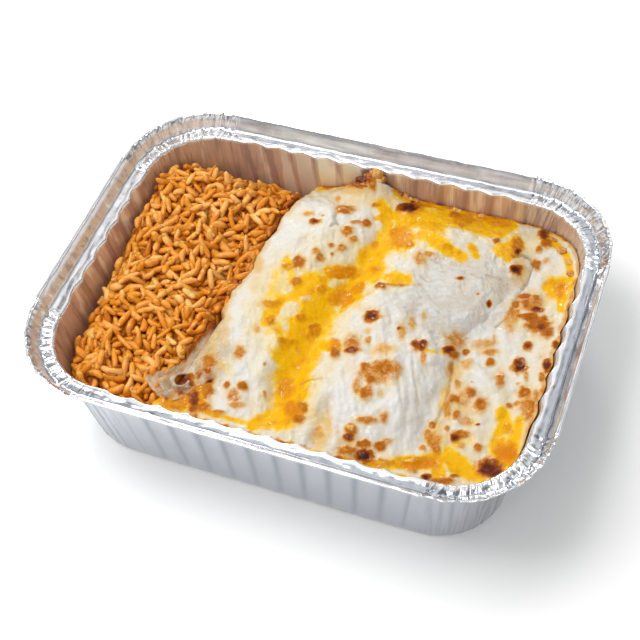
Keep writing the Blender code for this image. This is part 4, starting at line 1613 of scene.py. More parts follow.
# Tan: partly the tone of sauce and thin cheese, partly painted shade in valleys, folds and under the crust.
TAN_AND_PAINTED_SHADE_SPOTS = spots(
    (318, 416, 20, 22, 0.5), (338, 434, 12, 10, 0.5), (474, 296, 24, 18, 0.3), (500, 285, 18, 20, 0.4),
    (455, 372, 9, 16, 0.8), (448, 398, 7, 14, 0.8), (435, 430, 10, 14, 0.9), (327, 425, 6, 14, 0.9),
    (520, 270, 11, 16, 0.9), (356, 188, 28, 8, 1.0), (350, 202, 16, 8, 0.5), (535, 312, 18, 20, 0.4),
    (385, 360, 14, 14, 0.5), (478, 400, 18, 14, 0.3), (250, 345, 12, 26, 0.25), (246, 404, 22, 10, 0.4),
    (350, 445, 14, 12, 0.8), (545, 370, 9, 30, 0.6), (530, 405, 9, 22, 0.8), (300, 255, 12, 26, 0.25),
    (320, 440, 12, 14, 0.9), (462, 402, 14, 26, 0.8), (480, 346, 16, 10, 0.7), (222, 334, 9, 18, 0.8),
    (384, 374, 18, 14, 0.6), (210, 352, 9, 16, 0.9), (436, 440, 16, 12, 0.8), (384, 202, 12, 8, 0.8),
    (254, 282, 7, 14, 0.5), (256, 262, 9, 14, 0.9),
)
CREAM_SPOTS = spots(
    (272, 285, 22, 16, 0.9), (330, 250, 26, 22, 0.7), (355, 195, 34, 12, 0.7), (229, 368, 5, 9, 0.9),
    (300, 215, 14, 10, 0.3), (350, 255, 14, 14, 0.7), (535, 245, 14, 12, 0.8), (520, 380, 25, 30, 0.35),
    (545, 330, 12, 30, 0.5), (470, 430, 25, 22, 0.3), (258, 300, 14, 30, 0.7), (285, 268, 18, 16, 0.8),
)
BROWNING_AT_THE_BACK = spots(
    (361, 179, 10, 6, 0.95), (358, 184, 9, 4, 0.6), (372, 184, 4, 6, 0.5), (338, 184, 9, 2.2, 0.55),
    (326, 188, 5, 2, 0.45), (409, 208, 10, 4.5, 1.0), (413, 202, 3, 1.6, 0.8), (406, 191, 5, 3.5, 0.7),
    (430, 201, 8, 2.5, 0.6), (453, 208, 5, 2, 0.5), (454, 215, 5, 3, 0.6), (465, 220, 6, 3, 0.5),
    (461, 225, 3, 2.5, 0.5), (498, 218, 7, 2.5, 0.55), (496, 240, 3.3, 2, 0.6), (517, 245, 5.5, 7, 0.6),
    (518, 251, 3.5, 2.5, 0.9), (516, 269, 5, 5, 0.95), (539, 250, 3, 3.5, 0.5), (536, 265, 4, 4.5, 0.6),
    (544, 235, 5, 5, 0.8), (547, 243, 6, 4, 0.6), (446, 245, 5, 2.5, 0.3),
)
BROWNING_ON_THE_LEFT_ROLL = spots(
    (183, 384, 12, 12, 0.8), (194, 400, 6, 12, 0.75), (206, 390, 6, 9, 0.6), (209, 379, 4.5, 4.5, 0.85),
    (176, 404, 8, 6, 0.5), (205, 376, 8, 8, 0.66), (209, 363, 7, 8, 0.5), (203, 408, 7, 5, 0.55),
    (233, 395, 5, 6, 0.4), (218, 412, 6, 2, 0.45), (236, 405, 7, 3, 0.35),
    (167, 394, 5, 6, 0.7), (222, 306, 5, 9, 0.3), (210, 322, 4, 6, 0.35),
    (308, 214, 4, 2.2, 0.35), (323, 215, 1.8, 1.2, 0.3), (315, 222, 4.5, 2.5, 0.8),
    (345, 209, 9, 3.5, 0.45), (344, 212, 6, 2, 0.6), (338, 199, 2.5, 3, 0.3), (376, 205, 4.5, 2, 0.5),
    (366, 223, 5, 3.3, 0.55), (357, 222, 7, 1.8, 0.4), (347, 231, 5, 4.5, 0.5), (353, 239, 4, 3, 0.4),
    (331, 246, 2.5, 2.2, 0.5), (342, 248, 4.5, 3.5, 0.4), (332, 254, 1.4, 1.5, 0.5),
    (316, 253, 3.5, 4, 0.4), (320, 258, 4, 3.5, 0.45), (299, 263, 6, 5.5, 0.6), (288, 266, 6, 4, 0.35),
    (337, 272, 9, 4.5, 0.35),
    (350, 272, 7, 5.5, 0.5), (296, 282, 5, 4.5, 0.5), (321, 288, 4, 4, 0.4), (340, 298, 9, 7, 0.4),
    (358, 289, 6, 4.5, 0.35), (300, 318, 4, 4, 0.5), (314, 330, 6, 6.5, 0.5), (270, 304, 8, 3.5, 0.35),
    (270, 321, 4.5, 5, 0.5), (257, 329, 3, 3, 0.25), (286, 341, 8, 3, 0.35), (239, 352, 5, 6, 0.4),
    (265, 366, 1.5, 1.5, 0.4), (227, 385, 3, 3, 0.6), (243, 386, 4.5, 4, 0.6), (234, 398, 5, 4, 0.4),
    (265, 396, 1.5, 4, 0.4), (286, 388, 8, 7, 0.4), (302, 407, 5, 6, 0.6), (298, 418, 6, 4, 0.55),
)
BROWNING_IN_THE_VALLEY = spots(
    (374, 244, 4, 3.5, 0.3), (375, 269, 3, 3, 0.4), (402, 238, 8, 7, 0.25), (409, 245, 4, 3, 0.5),
    (420, 258, 5.5, 5.5, 0.35), (428, 253, 5, 2.5, 0.4), (381, 286, 5, 3, 0.6),
    (397, 285, 12, 1.3, 0.4), (335, 352, 4.5, 5, 0.65), (335, 343, 4, 4, 0.35), (352, 345, 7, 8, 0.45),
    (352, 350, 7, 2.8, 0.85), (372, 317, 7, 5, 0.85), (368, 331, 3, 2.5, 0.2), (368, 340, 3, 3.3, 0.4),
    (384, 350, 8.5, 5, 0.25), (384, 369, 11, 7, 0.5), (366, 367, 5, 4, 0.5), (398, 371, 3, 6, 0.4),
    (371, 380, 4.5, 4, 0.6), (357, 386, 4, 8, 0.35), (366, 393, 6, 6.5, 0.5), (380, 393, 3, 3, 0.2),
    (366, 420, 9, 3.5, 0.45), (384, 417, 4, 5, 0.4), (351, 430, 5.5, 5.5, 0.5),
    (349, 437, 5, 4.5, 0.85), (380, 446, 6, 4.5, 0.6), (387, 441, 5, 3, 0.35), (364, 444, 6, 4, 0.6),
    (364, 456, 8, 6, 1.0), (347, 452, 9, 5, 0.5), (376, 374, 15, 9, 0.38), (319, 433, 5, 6, 0.3),
    (376, 463, 16, 4, 0.4),
)
BROWNING_ON_THE_RIGHT_ROLL = spots(
    (416, 345, 4, 4.5, 0.75), (422, 346, 4, 5, 0.8), (423, 357, 2.5, 7, 0.35), (402, 332, 3, 7, 0.35),
    (399, 329, 1.6, 1.6, 0.7), (412, 322, 3, 5, 0.3), (424, 316, 2, 4, 0.25), (455, 340, 8.5, 8, 0.35),
    (449, 350, 5.5, 4, 0.85), (454, 355, 5, 3.5, 0.6), (466, 351, 3.5, 3, 0.6), (450, 367, 3, 4.5, 0.3),
    (466, 364, 5, 5, 0.25), (457, 384, 3.5, 4, 0.35), (490, 352, 6.5, 3.5, 0.4),
    (494, 340, 1.4, 6, 0.35), (490, 362, 3.7, 3.5, 0.55), (500, 380, 4, 8, 0.45),
    (520, 366, 5.5, 6.5, 0.95), (513, 368, 3, 3.5, 0.4), (526, 376, 2, 5, 0.4),
    (528, 346, 4.2, 3.8, 0.75), (525, 393, 5.5, 5, 0.6), (518, 384, 2, 1.5, 0.25),
    (509, 406, 3.5, 2.5, 0.5), (517, 403, 3, 2.5, 0.4), (470, 394, 5, 5.5, 0.55), (454, 399, 5, 4, 0.6),
    (463, 403, 4, 2.5, 0.35), (481, 405, 6.3, 6.8, 0.5), (456, 415, 3.5, 5, 0.45),
    (477.5, 425, 1.2, 1.2, 1.0), (432, 426, 3, 3, 0.5), (428, 435, 4, 7, 0.4), (423, 448, 3.5, 3, 0.4),
    (437, 450, 4, 4, 0.5), (447, 429, 2.5, 3, 0.4), (461, 434, 8, 3.5, 0.55), (455, 438, 4.5, 4, 0.85),
    (461, 446, 3.5, 3.5, 0.4), (477.5, 448, 3.8, 3.8, 0.55), (490, 469, 12, 9, 0.88),
    (426, 477, 4.5, 3, 0.9), (441, 481, 12, 3, 0.6), (454, 476, 4, 1.5, 0.6), (416, 460, 4, 2.5, 0.4),
    (412, 470, 5, 3, 0.4), (507, 427, 4, 4, 0.35), (447, 410, 4, 8, 0.4), (465, 421, 7, 4, 0.32),
    (433, 441, 7, 8, 0.42), (464, 398, 8, 7, 0.3), (497, 474, 9, 5, 0.9),
)
BROWNING_BY_THE_RIGHT_WALL = spots(
    (525, 296, 6, 3, 0.65), (536, 299, 3.5, 3, 0.6), (526, 304, 2.5, 4, 0.6), (516, 304, 3.5, 4, 0.55),
    (536, 310, 7, 2.5, 0.8), (521, 316, 4, 2, 0.65), (530, 317, 8, 4, 0.65), (538, 325, 11, 8, 0.62),
    (541, 328, 6, 4, 0.72), (509, 322, 5, 9, 0.3), (559, 286, 2.2, 2.2, 0.55), (546, 261, 3, 3, 0.25),
    (556, 345, 3.5, 4, 0.7), (547, 366, 4, 6.5, 0.9), (542, 378, 3, 4, 0.5), (531, 408, 3.5, 9, 0.5),
    (536, 396, 2.5, 6, 0.4), (460, 278, 3.5, 1.6, 0.7), (489, 304, 2.3, 3.3, 0.8),
    (478, 294, 1.2, 1.2, 0.5), (530, 303, 12, 7, 0.42), (514, 313, 5, 8, 0.4), (546, 331, 6, 7, 0.6),
    (528, 407, 7, 12, 0.42), (484, 343, 9, 4, 0.3),
)
BROWNING = (
    BROWNING_AT_THE_BACK
    + BROWNING_ON_THE_LEFT_ROLL
    + BROWNING_IN_THE_VALLEY
    + BROWNING_ON_THE_RIGHT_ROLL
    + BROWNING_BY_THE_RIGHT_WALL
)
SAGGING_FOLDS = streaks(
    (1.0, (392, 352, 5), (400, 385, 6), (398, 420, 5)),
    (0.5, (412, 362, 4), (418, 395, 6), (410, 440, 5)),
    (1.0, (432, 300, 4), (425, 330, 5), (432, 360, 4)),
    (1.0, (330, 208, 4), (325, 240, 5), (305, 268, 4)),
    (1.0, (382, 300, 5), (378, 340, 6), (384, 360, 4)),
    (1.0, (318, 395, 5), (322, 425, 6), (345, 455, 5)),
    (1.0, (470, 365, 4), (500, 392, 5), (500, 412, 4)),
    (1.0, (275, 340, 5), (262, 375, 6), (262, 405, 5)),
    (0.9, (309, 385, 4), (318, 392, 5), (330, 390, 4)),
)
# Creases: pressed into the sheet, and given a dark line of painted shade.
CREASES = streaks(
    (1.0, (514, 255, 1.2), (523, 255, 1.3), (531, 259, 1.4), (533, 266, 1.4), (530, 276, 1.4),
     (527, 283, 1.4)),
    (1.0, (527, 283, 1.4), (520, 291, 1.4), (515, 299, 1.4), (513, 307, 1.3), (505, 319, 1.2),
     (496, 325, 1)),
    (1.0, (336, 213, 1.3), (335, 219, 1.4), (338, 224, 1.2)),
    (0.7, (336, 223, 1.1), (331, 227, 1.1)),
    (0.6, (432, 258, 1.1), (440, 263, 1.2), (443, 272, 1)),
    (0.5, (471, 274, 1.1), (482, 279, 1)),
    (0.6, (486, 275, 1.1), (503, 280, 1)),
    (0.5, (396, 360, 1.2), (398, 380, 1.3), (402, 408, 1)),
    (0.5, (412, 352, 1.2), (414, 380, 1.3), (419, 405, 1)),
    (0.8, (453, 362, 1.2), (449, 392, 1.4), (440, 414, 1.3), (434, 428, 1)),
    (0.7, (300, 384, 1.3), (310, 380, 1.4), (322, 378, 1)),
)
SKIN_ZONES = spots(
    (448, 305, 58, 38, 1.0), (480, 275, 45, 26, 0.9),
)


def baked_marks(x: Array, y: Array, z: Array) -> dict[str, Array]:
    """What the oven left at each place of the food's top.

    Args:
        x: The places along X.
        y: The places along Y.
        z: Their heights.

    Returns:
        How browned, fatty, orange, tan, creamy, wrinkled and deep in a crease each place is. Tan, cream and
        crease also carry painted shade.
    """
    column, row = CAMERA.project(np.stack((x, y, z), axis=-1))
    waver = mottle(x, y, 41, 2.2) + 0.5 * mottle(x, y, 42, 0.9)
    wide_waver = mottle(x, y, 43, 5) + 0.4 * waver
    toast = spot_mask(BROWNING, column, row, waver, 0.75, rim=0.4)
    freckles = smooth_step(0.55, 0.95, mottle(x, y, 44, 2.6)) * 0.35
    toast = np.maximum(toast, freckles * smooth_step(0.0, 0.6, mottle(x, y, 45, 16)))
    halos = [Spot(spot.column, spot.row, 1.7 * spot.wide, 1.7 * spot.tall, 0.75) for spot in BROWNING]
    melt = streak_mask(YELLOW_STREAKS, column, row, wide_waver, 1.08, 0.85)
    melt = melt * (1 - spot_mask(CREAM_GAPS, column, row, waver, 0.7))
    wall = BOWL.depth(x, y, z) + 1.0 * MM * mottle(x, y, 49, 3)
    far_right = smooth_step(88 * MM, 92 * MM, x)
    melt = np.maximum(melt, (0.55 - 0.4 * far_right) * smooth_step(4 * MM, 0.5 * MM, wall))
    melt = np.clip(melt * (0.92 + 0.2 * mottle(x, y, 38, 4)), 0, 1)
    halo = spot_mask(halos, column, row, wide_waver, 0.9)
    melt = np.maximum(melt, 0.3 * halo)
    baked = (0.42 + 0.35 * mottle(x, y, 50, 4)) * smooth_step(2.8 * MM, 0.2 * MM, wall)
    nearby = streak_mask(YELLOW_STREAKS, column, row, wide_waver, 1.8, 0.9)
    melt = np.maximum(melt, 0.3 * nearby)
    crease = streak_mask(CREASES, column, row, 0.3 * waver)
    fold = streak_mask(SAGGING_FOLDS, column, row, 0.6 * wide_waver, 1.3, 0.7)
    sag = draped_relief(x, y) * smooth_step(0.05, 0.5, fold + 0.25)
    band = smooth_step(3.2 * MM, 0.8 * MM, wall)
    tan = np.maximum(spot_mask(TAN_AND_PAINTED_SHADE_SPOTS, column, row, wide_waver, 0.8), halo)
    return {
        "toast": np.maximum(toast, baked * (1 - 0.45 * far_right)),
        "melt": melt,
        "orange": spot_mask(ORANGE_SPOTS, column, row, wide_waver, 0.8),
        # Painted shade: the draped folds' low sides get more tan and cream, their crests less cream.
        "tan": np.maximum(tan, 0.8 * band) + 0.12 * np.maximum(0, -sag),
        "cream": 0.12 + spot_mask(CREAM_SPOTS, column, row, wide_waver, 0.9) + 0.8 * nearby - 0.35 * sag,
        "crease": crease,
        "skin": spot_mask(SKIN_ZONES, column, row, wide_waver, 0.5),
        "fold": fold,
    }


def skin_relief(x: Array, y: Array) -> Array:
    """The fine wrinkles of a tortilla's skin, which thin cheese over it follows.

    Args:
        x: The places along X.
        y: The places along Y.

    Returns:
        The relief, in metres.
    """
    bend = 3.5 * MM * mottle(x, y, 8, 11)
    along, across = 0.95 * x - 0.32 * y + bend, 0.32 * x + 0.95 * y + bend
    folds = mottle(along, across, 5, 6, 2.6)
    ridges = 1 - 2 * np.abs(mottle(along, across, 9, 9, 3.6))
    fine = mottle(along, across, 6, 2.4, 1.2)
    return (0.4 * folds + 0.55 * ridges + 0.42 * fine) * MM


def draped_relief(x: Array, y: Array) -> Array:
    """The fine lines in which melted cheese sags along the rolls."""
    across, along = 0.89 * x + 0.45 * y, 0.45 * x - 0.89 * y
    return mottle(across, along, 33, 2.0, 9) + 0.4 * mottle(across, along, 34, 1.0, 4)


@dataclass
class EnchiladaRolls:
    """The two rolled tortillas."""

    rolls: tuple[Roll, ...] = (FOOD.left_roll, FOOD.right_roll)
    nodes: tuple[str, ...] = ("enchilada_left", "enchilada_right")
    finish: CheeseFinish = CheeseFinish("tortilla_baked")

    def build(self) -> list[bpy.types.Object]:
        """Makes both rolls, wrinkled and a little toasted, in the tones of the cheese that thins out there.

        Returns:
            The rolls.
        """
        material = self.finish.build()
        made = []
        for roll, node in zip(self.rolls, self.nodes):
            points, faces = roll.mesh()
            piece = mesh_object(roll.name, points, faces, baked_marks(*points.T))
            piece.data.materials.append(material)
            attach(piece, "root")
            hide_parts(node)
            made.append(piece)
        return made


@dataclass
class MeltedCheese:
    """The sheet of melted cheese: draped over both rolls, pooled beside them, blistered and browned."""

    rows: int = 258
    columns: int = 206
    corner_columns: int = 52
    edge_roundness: float = 2.4 * MM
    lump: float = 0.7 * MM
    small_lump: float = 0.26 * MM
    blister: float = 0.55 * MM
    drape: float = 0.3 * MM
    finish: CheeseFinish = field(default_factory=CheeseFinish)

    def edge(self, y: Array) -> Array:
        """Its left edge, which wavers."""
        waver = 1.5 * mottle(y, 0 * y, 31, 9) + 1.0 * mottle(y, 0 * y, 32, 3)
        return FOOD.cheese_edge(y) + waver * MM

    def under(self, x: Array, y: Array) -> Array:
        """The height of its underside: on the rolls, or on the floor beside them."""
        rolls = (FOOD.left_roll, FOOD.right_roll)
        return np.maximum.reduce([roll.underside(x, y) for roll in rolls])

    def build(self) -> bpy.types.Object:
        """Makes the sheet.

        Returns:
            The cheese.
        """
        bed = Bed(End.CHEESE, self.edge, self.rows, self.columns, self.corner_columns)
        x, y = bed.plan(bed.edge, 1.0)
        z = FOOD.cheese_top(x, y)
        under = self.under(x, y)
        marks = baked_marks(x, y, z)
        toast, melt, skin = marks["toast"], marks["melt"], marks["skin"]
        away = FOOD.patch_distance(x, y) + 0.06 * mottle(x, y, 37, 4)
        thick = smooth_step(1.0, 1.7, away)
        lumps = self.lump * mottle(x, y, 46, 5.5, 7)
        lumps = lumps + self.small_lump * mottle(x, y, 47, 1.9, 2.4)
        lumps = lumps + self.drape * draped_relief(x, y)
        ridge = self.blister * smooth_step(0.0, 0.4, toast) * (1 - 0.8 * smooth_step(0.45, 0.9, toast))
        ridge = ridge + 0.1 * MM * mottle(x, y, 48, 1.1, 1.3)
        z = z + lumps * (1 - 0.7 * melt) * (1 - 0.6 * skin) + ridge
        z = z + 1.1 * MM * marks["fold"] - 0.5 * MM * melt * (1 - toast) - 0.7 * MM * marks["crease"]
        bare = np.maximum(FOOD.right_roll.top(x, y, 0.0), z - 1.6 * MM)
        z = bare + (z - bare) * np.where(x > 20 * MM, thick, 1.0)
        z = z + skin_relief(x, y) * np.maximum(skin, 1 - thick)
        z = z - 0.25 * MM * smooth_step(1.0, 0.9, away)
        from_edge = x - self.edge(y)
        browned = smooth_step(7 * MM, 2 * MM, from_edge + 2.5 * MM * mottle(x, y, 36, 4))
        marks["tan"] = np.maximum(marks["tan"], 0.7 * browned)
        rounding = quarter_round(from_edge / self.edge_roundness)
        lip = np.maximum(under, z - 7 * MM)
        z = np.where(z > lip, lip + 0.2 * MM + (z - lip - 0.2 * MM) * rounding, z)
        sheet = bed.block("cheese_sheet", (x, y, z), self.under, marks)
        sheet.data.materials.append(self.finish.build())
        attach(sheet, "root")
        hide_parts("melted_cheese")
        return sheet


@dataclass
class RiceHeap:
    """The heap of rice: a sticky core and the loose grains that cover it."""

    rows: int = 150
    columns: int = 50
    corner_columns: int = 36
    core_depth: float = 3.0 * MM
    grain_length: float = 9.5 * MM
    grain_thickness: float = 3.25 * MM
    grain_bend: tuple[float, ...] = (0.02, 0.06, 0.1, 0.17)
    grain_rings: tuple[tuple[float, float], ...] = (
        (0.02, 0.38), (0.12, 0.78), (0.36, 1.04), (0.64, 0.99), (0.87, 0.76), (0.98, 0.38),
    )
    grain_sides: int = 6
    layers: tuple[tuple[float, int], ...] = ((-3.6, 390), (-2.3, 440), (-1.0, 500), (0.3, 290))
    spacing: float = 3.7 * MM
    tries_per_grain: int = 14
    tried_x: tuple[float, float] = (-99.5 * MM, -24 * MM)
    tried_y: float = 71 * MM
    clump: float = 2.3 * MM
    edge_outline: Outline = Outline(97.5 * MM, 70.4 * MM, 27.6 * MM)
    spilled: Hill = Hill(-36, 6, 8, 12, 6.5)
    seed: int = 12

    def edge(self, y: Array) -> Array:
        """Its right edge, which closes up to the cheese past the roll's ends."""
        past = smooth_step(60.5 * MM, 62.5 * MM, np.abs(y))
        return FOOD.rice_edge(y) + (FOOD.cheese_edge(y) - FOOD.rice_edge(y) - 0.5 * MM) * past

    def top(self, x: Array, y: Array) -> Array:
        """The heap's height with the grains' clumps."""
        clumps = self.clump * mottle(x, y, 53, 8) + self.spilled.rise(x, y)
        return FOOD.rice_top(x, y) + clumps + 0.6 * self.clump * mottle(x, y, 54, 4)

    def core(self) -> bpy.types.Object:
        """Makes the sticky rice under the loose grains.

        Returns:
            The core.
        """
        bed = Bed(End.RICE, self.edge, self.rows, self.columns, self.corner_columns)
        x, y = bed.plan(self.edge_outline, 0.8)
        z = self.top(x, y) - self.core_depth
        z = z + 0.9 * MM * (1 - 2 * np.abs(mottle(x, y, 51, 3)))
        # The core's dark tone is partly painted shade for the gaps between the grains.
        shade = 0.12 + 0.2 * mottle(x, y, 52, 2)
        return bed.block("rice_core", (x, y, z), lambda a, b: FOOD_FLOOR + 0 * a, {"shade": shade})

    def grain(self, bend: float, number: int) -> bpy.types.Object:
        """Makes one plump, slightly curved grain along X.

        Args:
            bend: How far it curves, as a share of its length.
            number: Its number, which sets its small differences.

        Returns:
            The grain.
        """
        points = [(-self.grain_length / 2, -bend * self.grain_length, 0.0)]
        for share, width in self.grain_rings:
            along = (share - 0.5) * self.grain_length
            sag = -bend * self.grain_length * (2 * share - 1) ** 2
            uneven = 1 + 0.08 * math.sin(5 * share + 2.1 * number)
            for side in range(self.grain_sides):
                angle = math.tau * side / self.grain_sides
                radius = width * uneven * self.grain_thickness / 2
                points.append((along, sag + radius * math.cos(angle), 0.9 * radius * math.sin(angle)))
        points.append((self.grain_length / 2, -bend * self.grain_length, 0.0))
        faces = ball_faces(len(self.grain_rings), self.grain_sides)
        return mesh_object(f"grain_{number}", np.array(points), faces)

    def places(self) -> tuple[Array, dict[str, Array]]:
        """Lays out the loose grains, evenly in each layer and along the heap's slope.

        Returns:
            The grains' middles, and what each carries.
        """
        draw = np.random.default_rng(self.seed)
        found: list[tuple[float, float, float]] = []
        for depth, count in self.layers:
            tries = self.tries_per_grain * count
            x = draw.uniform(*self.tried_x, tries)
            y = draw.uniform(-self.tried_y, self.tried_y, tries)
            beyond = self.edge(y) + self.spilled.rise(self.spilled.x * MM, y) - 1.3 * MM
            room = (BOWL.depth(x, y, self.top(x, y) + depth * MM) > 1.9 * MM) & (x < beyond)
            found += [(a, b, depth * MM) for a, b in self.spread(x[room], y[room], count)]
        x, y, depth = np.array(found).T
        heading = draw.uniform(0, math.tau, len(x))
        length = draw.uniform(0.55, 1.16, len(x))
        middle = self.top(x, y) + depth + draw.uniform(-0.35, 0.35, len(x)) * MM
        for _ in range(8):
            room = self.has_room(x, y, middle, heading, length)
            heading = np.where(room, heading, draw.uniform(0, math.tau, len(x)))
            length = np.where(room, length, length * 0.93)
        room = self.has_room(x, y, middle, heading, length)
        drawn = (x, y, depth, middle, heading, length)
        x, y, depth, middle, heading, length = (numbers[room] for numbers in drawn)
        reach = 2.5 * MM
        x_slope = (self.top(x + reach, y) - self.top(x - reach, y)) / (2 * reach)
        y_slope = (self.top(x, y + reach) - self.top(x, y - reach)) / (2 * reach)
        climb = np.arctan(x_slope * np.cos(heading) + y_slope * np.sin(heading))
        width = draw.uniform(0.74, 1.12, len(x))
        # Grains near the cheese's left edge get darker.
        near_cheese_edge = smooth_step(10 * MM, 0.0, FOOD.cheese_edge(y) - x) * smooth_step(-30 * MM, -15 * MM, y)
        values = {
            "heading": heading,
            "pitch": -climb + draw.normal(0, 0.42, len(x)),
            "size": np.stack((length, width, width), axis=-1),
            "kind": draw.integers(0, len(self.grain_bend), len(x)).astype(float),
            # Grains in lower layers get darker: painted shade between the grains.
            "shade": np.clip(0.62 + depth / (6 * MM) + draw.normal(0, 0.1, len(x)) - 0.5 * near_cheese_edge, 0, 1),
        }
        return np.stack((x, y, middle), axis=-1), values

    def has_room(self, x: Array, y: Array, height: Array, heading: Array, length: Array) -> Array:
        """Whether both ends of each grain lie inside the wall and on the rice's side of the cheese.

        Args:
            x: The grains' middles along X.
            y: The grains' middles along Y.
            height: Their heights.
            heading: The ways they point.
            length: Their lengths, as shares of a whole grain's.

        Returns:
            True for each grain that has room.
        """
        room = np.ones(len(x), bool)
        for sign in (-0.5, 0.5):
            end_x = x + sign * self.grain_length * length * np.cos(heading)
            end_y = y + sign * self.grain_length * length * np.sin(heading)
            beyond = self.edge(end_y) + self.spilled.rise(self.spilled.x * MM, end_y) + 0.6 * MM
            room &= (BOWL.depth(end_x, end_y, height - 3 * MM) > 1.7 * MM) & (end_x < beyond)
        return room

    def spread(self, x: Array, y: Array, count: int) -> list[tuple[float, float]]:
        """Keeps places that lie apart from each other.

        Args:
            x: The tried places along X.
            y: The tried places along Y.
            count: How many to keep at most.

        Returns:
            The kept places.
        """
        kept: list[tuple[float, float]] = []
        for place in zip(x.tolist(), y.tolist()):
            if len(kept) < count and all(math.dist(place, other) >= self.spacing for other in kept):
                kept.append(place)
        return kept

    def build(self) -> list[bpy.types.Object]:
        """Makes the core and scatters the grains on it.

        Returns:
            The core and the grains.
        """
        core = self.core()
        # A darker finish for the core: partly painted shade in the gaps.
        core.data.materials.append(RiceFinish("rice_sticky", pale=(0.58, 0.18, 0.02)).build())
        kinds = bpy.data.collections.new("grain_kinds")
        grains = [self.grain(bend, number) for number, bend in enumerate(self.grain_bend)]
        for grain in grains:
            bpy.context.scene.collection.objects.unlink(grain)
            kinds.objects.link(grain)
        points, values = self.places()
        base = mesh_object("grain_places", points, [], values)
        inputs = {"Pieces": kinds, "Seed": self.seed, "Material": RiceFinish("rice_grains").build()}
        give_tree(base, scatter_tree(), inputs)
        loose = settle_mesh(base, "rice_grains")
        for grain in grains:
            bpy.data.objects.remove(grain)
        bpy.data.collections.remove(kinds)
        for piece in (core, loose):
            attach(piece, "root")
            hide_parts("rice")
        return [core, loose]


@dataclass
class CheeseTongue:
    """The thin film of cheese that runs out over the rice, with a hole that has opened in it."""

    hole: Spot = Spot(181.5, 380, 6, 5, 1.0)
    outline: tuple[tuple[float, float], ...] = (
        (216, 378), (203, 384), (194, 388), (186, 395), (174, 401), (163, 399), (154, 390), (147, 382),
        (143, 376), (152, 373), (162, 372), (174, 366), (188, 362), (195, 350), (200, 338), (207, 327),
        (218, 319), (232, 322), (234, 366),
    )
    joins_sheet: tuple[float, float] = (206, 226)
    blends_above: tuple[float, float] = (374, 356)
    thickness: float = 0.6 * MM
    rounded_rim: float = 0.12
    rounded_hole: float = 0.1
    sides: int = 160
    rings: int = 30
    marks: tuple[Spot, ...] = spots(
        (209, 380, 3.5, 4.5, 0.8), (160.5, 388, 1.6, 1.8, 0.6), (197, 373, 2.5, 2, 0.5),
        (205, 374, 8, 7, 0.35), (211, 361, 5, 6, 0.3),
    )
    finish: FilmFinish = FilmFinish("cheese_thin", (0.66, 0.60, 0.48), (0.56, 0.38, 0.17), 0.72, 0.1)

    def top(self, x: Array, y: Array) -> Array:
        """The height of its middle: over the rice, and then over the sheet that it joins.

        Args:
            x: The places along X.
            y: The places along Y.

        Returns:
            The heights.
        """
        over_rice = FOOD.rice_top(x, y) + 1.9 * MM
        over_sheet = FOOD.cheese_top(x, y) + 0.2 * MM
        joined = smooth_step(-3 * MM, 3 * MM, x - FOOD.cheese_edge(y))
        return over_rice + (over_sheet - over_rice) * joined

    def build(self) -> bpy.types.Object:
        """Makes the film as a ring round the hole.

        Returns:
            The film.
        """
        hole = CAMERA.on_surface([self.hole.column], [self.hole.row], self.top)[0]
        shape = np.array(self.outline)
        corners = CAMERA.on_surface(shape[:, 0], shape[:, 1], self.top) - hole
        turns = np.arctan2(corners[:, 1], corners[:, 0])
        order = np.argsort(turns)
        angle = np.linspace(-np.pi, np.pi, self.sides, endpoint=False)[None, :]
        reach = np.hypot(corners[:, 0], corners[:, 1])
        reach = np.interp(angle, turns[order], reach[order], period=math.tau)
        reach = sum(np.roll(reach, shift, axis=1) for shift in (-3, -2, -1, 0, 1, 2, 3)) / 7
        reach = reach * (1 + 0.03 * speckle(4 * np.cos(angle), 4 * np.sin(angle), 62))
        share = np.linspace(0, 1, self.rings)[:, None]
        pixel = CAMERA.distance / CAMERA.focal
        inner = pixel * np.hypot(self.hole.wide * np.cos(angle), 1.2 * self.hole.tall * np.sin(angle))
        distance = inner + (reach - inner) * share
        x, y = hole[0] + distance * np.cos(angle), hole[1] + distance * np.sin(angle)
        rim = quarter_round((1 - share) / self.rounded_rim) * quarter_round(share / self.rounded_hole)
        bulge = 0.3 * MM * np.exp(-(((distance - inner) / (1.2 * MM) - 0.8) ** 2))
        lump = 0.6 * MM * mottle(x, y, 61, 5) + 0.3 * MM * mottle(x, y, 63, 2)
        middle = self.top(x, y) + bulge + lump
        upper, lower = middle + self.thickness / 2 * rim, middle - self.thickness / 2 * rim
        points = np.concatenate((np.stack((x, y, upper), -1), np.stack((x, y, lower), -1)[::-1][1:-1]))
        count = len(points)
        points = points.reshape(-1, 3)
        quads = np.array(grid_faces(count + 1, self.sides, closed=True)) % len(points)
        quads = quads[:, [0, 3, 2, 1]].tolist()
        column, row = CAMERA.project(points)
        over_sheet = smooth_step(*self.joins_sheet, column)
        blending = np.maximum(over_sheet, smooth_step(*self.blends_above, row))
        around = np.broadcast_to(np.concatenate((share, share[::-1][1:-1])), (count, self.sides)).ravel()
        streaked = mottle(points[:, 0], points[:, 1], 64, 3, 7)
        # The rims round the hole and along the outer edge are thicker and whiter, with painted highlight
        # along them.
        body = 0.32 + 0.35 * streaked + 0.3 * (around < 0.16) + 0.12 * (around > 0.92)
        values = {
            "body": body + 0.1 * over_sheet,
            "edge": smooth_step(0.0, 0.5, 1 - around) * blending + 1 - blending,
            "toast": spot_mask(self.marks, column, row, streaked),
        }
        film = mesh_object("cheese_tongue", points, quads, values)
        film.data.materials.append(self.finish.build())
        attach(film, "root")
        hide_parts("melted_cheese")
        return film


